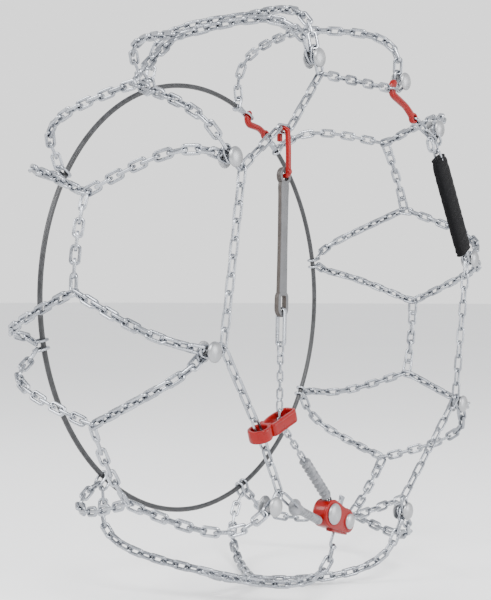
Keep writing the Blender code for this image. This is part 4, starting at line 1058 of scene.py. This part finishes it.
shape = Shape()
beadRadius = sleeve["beadRadius"]
shape.loft([(beadStart.lerp(beadEnd, k / 30), out, beadRadius, beadRadius) for k in range(31)],
           steps=4, power=2.0, sides=28, ripple=beadWave)
shape.finish("bead_sleeve")


def makeReturnSleeve():
    ball = polar(net["tyreRadius"] - sleeve["ballDrop"], sleeve["ballAngle"], sideY)
    aim = roller + Vector(sleeve["aim"]) - ball
    heading = aim.normalized()
    toCentre = roller - ball
    aside = (toCentre - heading * toCentre.dot(heading)).length
    far = toCentre.dot(heading) - sqrt(lock["leftRadius"] ** 2 - max(0.0, aside - sleeve["returnRadius"]) ** 2)
    radius, depth, tube = sleeve["ballRadius"], sleeve["ballDepth"], sleeve["returnRadius"]
    shape = Shape()
    stations = [(ball + heading * radius * sin(radians(a)), out, radius * cos(radians(a)),
                 depth * cos(radians(a)) ** 0.6) for a in (-84, -70, -52, -34, -16, 0, 16, 32, 46)]
    stations += [(ball + heading * (radius + 0.0012), out, tube * 1.05, tube)]
    shape.loft(stations, steps=4, power=2.3, sides=28)

    def ribs(share, angle):
        return -0.0006 * (0.5 + 0.5 * cos(2 * pi * share * 9))

    start, end = ball + heading * (radius - 0.001), ball + heading * (far - 0.00035)
    shape.loft([(start.lerp(end, k / 20), out, tube, tube) for k in range(21)], steps=4, power=2.0, sides=24,
               ripple=ribs)
    shape.finish("return_sleeve")
    links = cornerLinks(4)
    toBall = (ball - vertices[4]).normalized()
    links.add(vertices[4], ball - toBall * 0.0018, out, {"width": 0.0152, "wire": 0.0028, "corner": 0.8,
                                                          "section": 2.2}, roll=90.0, play=0.0)
    links.finish("side_link_4")


makeReturnSleeve()


def makeLabelSleeve():
    chord = (vertices[8] - vertices[7]).normalized()
    start = vertices[7] + chord * sleeve["labelStart"]
    length = sleeve["labelLength"]

    def folds(share, angle):
        gather = 0.0005 * (sin(share * 61 + 3 * sin(angle)) + 0.6 * sin(share * 97 + 2 * angle) - 1.6)
        nearEnd = abs(2 * share - 1) ** 5
        hem = -0.0006 * (1 if 0.035 < min(share, 1 - share) < 0.05 else 0)
        return gather * (0.22 + 0.6 * nearEnd) + hem

    stations = []
    for k in range(41):
        share = k / 40
        pinch = 1 - 0.16 * max(0.0, (share - 0.86) / 0.14) ** 2
        stations.append((start + chord * (length * share), out, sleeve["labelHalf"] * pinch - 0.0003,
                         sleeve["labelDepth"] - 0.0002))
    shape = Shape()
    shape.loft(stations, steps=3, power=2.8, sides=40, cap=0.0010, ripple=folds)
    shape.finish("label_sleeve", crease=60.0)


makeLabelSleeve()
print("sleeves made")


# Inner hoop: coated cable with crimped ends, closed by a small hook

hoop = {"cableRadius": 0.0030, "hookAngle": 60.0, "hookReach": 0.034, "ferrule": 0.0130,
        "crimp": 0.0036, "lead": 0.006}
halfReach = degrees(hoop["hookReach"] / 2 / hoopRadius)
pivotAngle, catchAngle = hoop["hookAngle"] - halfReach, hoop["hookAngle"] + halfReach
lead = hoop["crimp"] * 1.6 + hoop["lead"]
cableStart = catchAngle + degrees((slotStep["catch"] + lead) / hoopRadius)
cableEnd = pivotAngle + 360.0 - degrees((slotStep["eye"] + lead) / hoopRadius)
shape = Shape()
shape.loft([(polar(hoopRadius, cableStart + (cableEnd - cableStart) * k / 120, hoopY), out, hoop["cableRadius"],
             hoop["cableRadius"]) for k in range(121)], steps=2, power=2.0, sides=16, cap=0.0004)
shape.finish("inner_hoop", "cable")
links = Links()
ends = Shape()
for angle, length, way in ((catchAngle, slotStep["catch"], 1), (pivotAngle, slotStep["eye"], -1)):
    target = polar(hoopRadius, angle, hoopY)
    back = target + polar(1.0, angle + way * 90.0) * 0.03
    inner = hookedLink(links, target, back, length, hookLink)
    share = degrees(hoop["ferrule"] / hoopRadius) * way
    begin = cableStart if way > 0 else cableEnd - 360.0
    stations = [(inner - (inner - target).normalized() * 0.0006, out, 0.0016, 0.0040)]
    stations += [(polar(hoopRadius, begin - share * 0.28 + share * k / 4, hoopY), out, wide, wide)
                 for k, wide in ((0, 0.0036), (1, 0.0041), (2, 0.0040), (3, 0.0041), (4, 0.0036))]
    ends.loft(stations, steps=4, power=2.2, sides=20, cap=0.0005)
links.join(ends, 0.5)
addPiece("inner_hoop.ends", "inner_hoop", links.rows, links.faces, links.tones, slot="chain_steel")
latchHook("hoop_hook", hoopPivot, polar(hoopRadius, catchAngle, hoopY), polar(1.0, hoop["hookAngle"]))
print("inner hoop made")


# Pieces that keep their CAD shape get their finish here
for node, piece in frame["nodes"].items():
    piece.data.materials.clear()
    piece.data.materials.append(finishes[slots[node]])


# Floor, lights and camera

stage = {"floorDrop": 0.0015, "floorSize": 120.0, "floorColour": (0.94, 0.94, 0.94), "skyStrength": 1.6}
camera = {"place": (-1.18275, -0.87061, 0.0), "heading": (0.79250, 0.60987, -0.00188), "lens": 75.83}


def makeFloor():
    finish = Finish("paleFloor", Specular_IOR_Level=0.2)
    cloud = finish.patches(0.8, 2.0, 0.2, 0.8)
    red, green, blue = stage["floorColour"]
    colour = finish.colour(cloud, rgb(red, green, blue), rgb(red * 1.03, green * 1.03, blue * 1.03))
    material = finish.use(Base_Color=colour, Roughness=0.7 + cloud * 0.1)
    low = cadBox[0][2] - stage["floorDrop"]
    half = stage["floorSize"] / 2
    data = bpy.data.meshes.new("floor")
    data.from_pydata([(-half, -half, low), (half, -half, low), (half, half, low), (-half, half, low)], [],
                     [(0, 1, 2, 3)])
    data.materials.append(material)
    addObject("floor", data)


def makeLight(name, place, aim, size, power):
    data = bpy.data.lights.new(name, "AREA")
    data.shape, data.size, data.energy = "DISK", size, power
    light = addObject(name, data)
    light.location = place
    light.rotation_euler = (Vector(aim) - Vector(place)).to_track_quat("-Z", "Y").to_euler()


# bright near the horizon and dimmer overhead, so the metal has something to mirror
def makeSky():
    world = bpy.data.worlds.new("studio")
    world.use_nodes = True
    recipe = Recipe(world.node_tree, "Generated")
    height = recipe.add("ShaderNodeSeparateXYZ", {}, {0: recipe.place}, "Z")
    overhead = recipe.add("ShaderNodeMapRange", {"interpolation_type": "SMOOTHSTEP"},
                          {0: height, 1: 0.30, 2: 0.75})
    glow = recipe.colour(overhead, rgb(1.0, 1.0, 1.0), rgb(0.74, 0.75, 0.77))
    sky = world.node_tree.nodes["Background"]
    world.node_tree.links.new(glow.socket, sky.inputs["Color"])
    sky.inputs["Strength"].default_value = stage["skyStrength"]
    bpy.context.scene.world = world


makeFloor()
makeSky()
makeLight("keyLight", (-1.3, -1.6, 1.7), (0.0, -0.1, 0.0), 1.1, 90.0)
makeLight("fillLight", (0.9, -2.2, 0.4), (0.0, 0.0, 0.0), 1.4, 30.0)
makeLight("rimLight", (-1.8, 1.0, 1.5), (0.0, 0.0, 0.0), 1.4, 60.0)
eyeData = bpy.data.cameras.new("camera")
eyeData.lens, eyeData.sensor_width, eyeData.sensor_fit = camera["lens"], 36.0, "AUTO"
eye = addObject("camera", eyeData)
eye.location = camera["place"]
eye.rotation_euler = Vector(camera["heading"]).to_track_quat("-Z", "Y").to_euler()
bpy.context.scene.camera = eye
print("stage made")
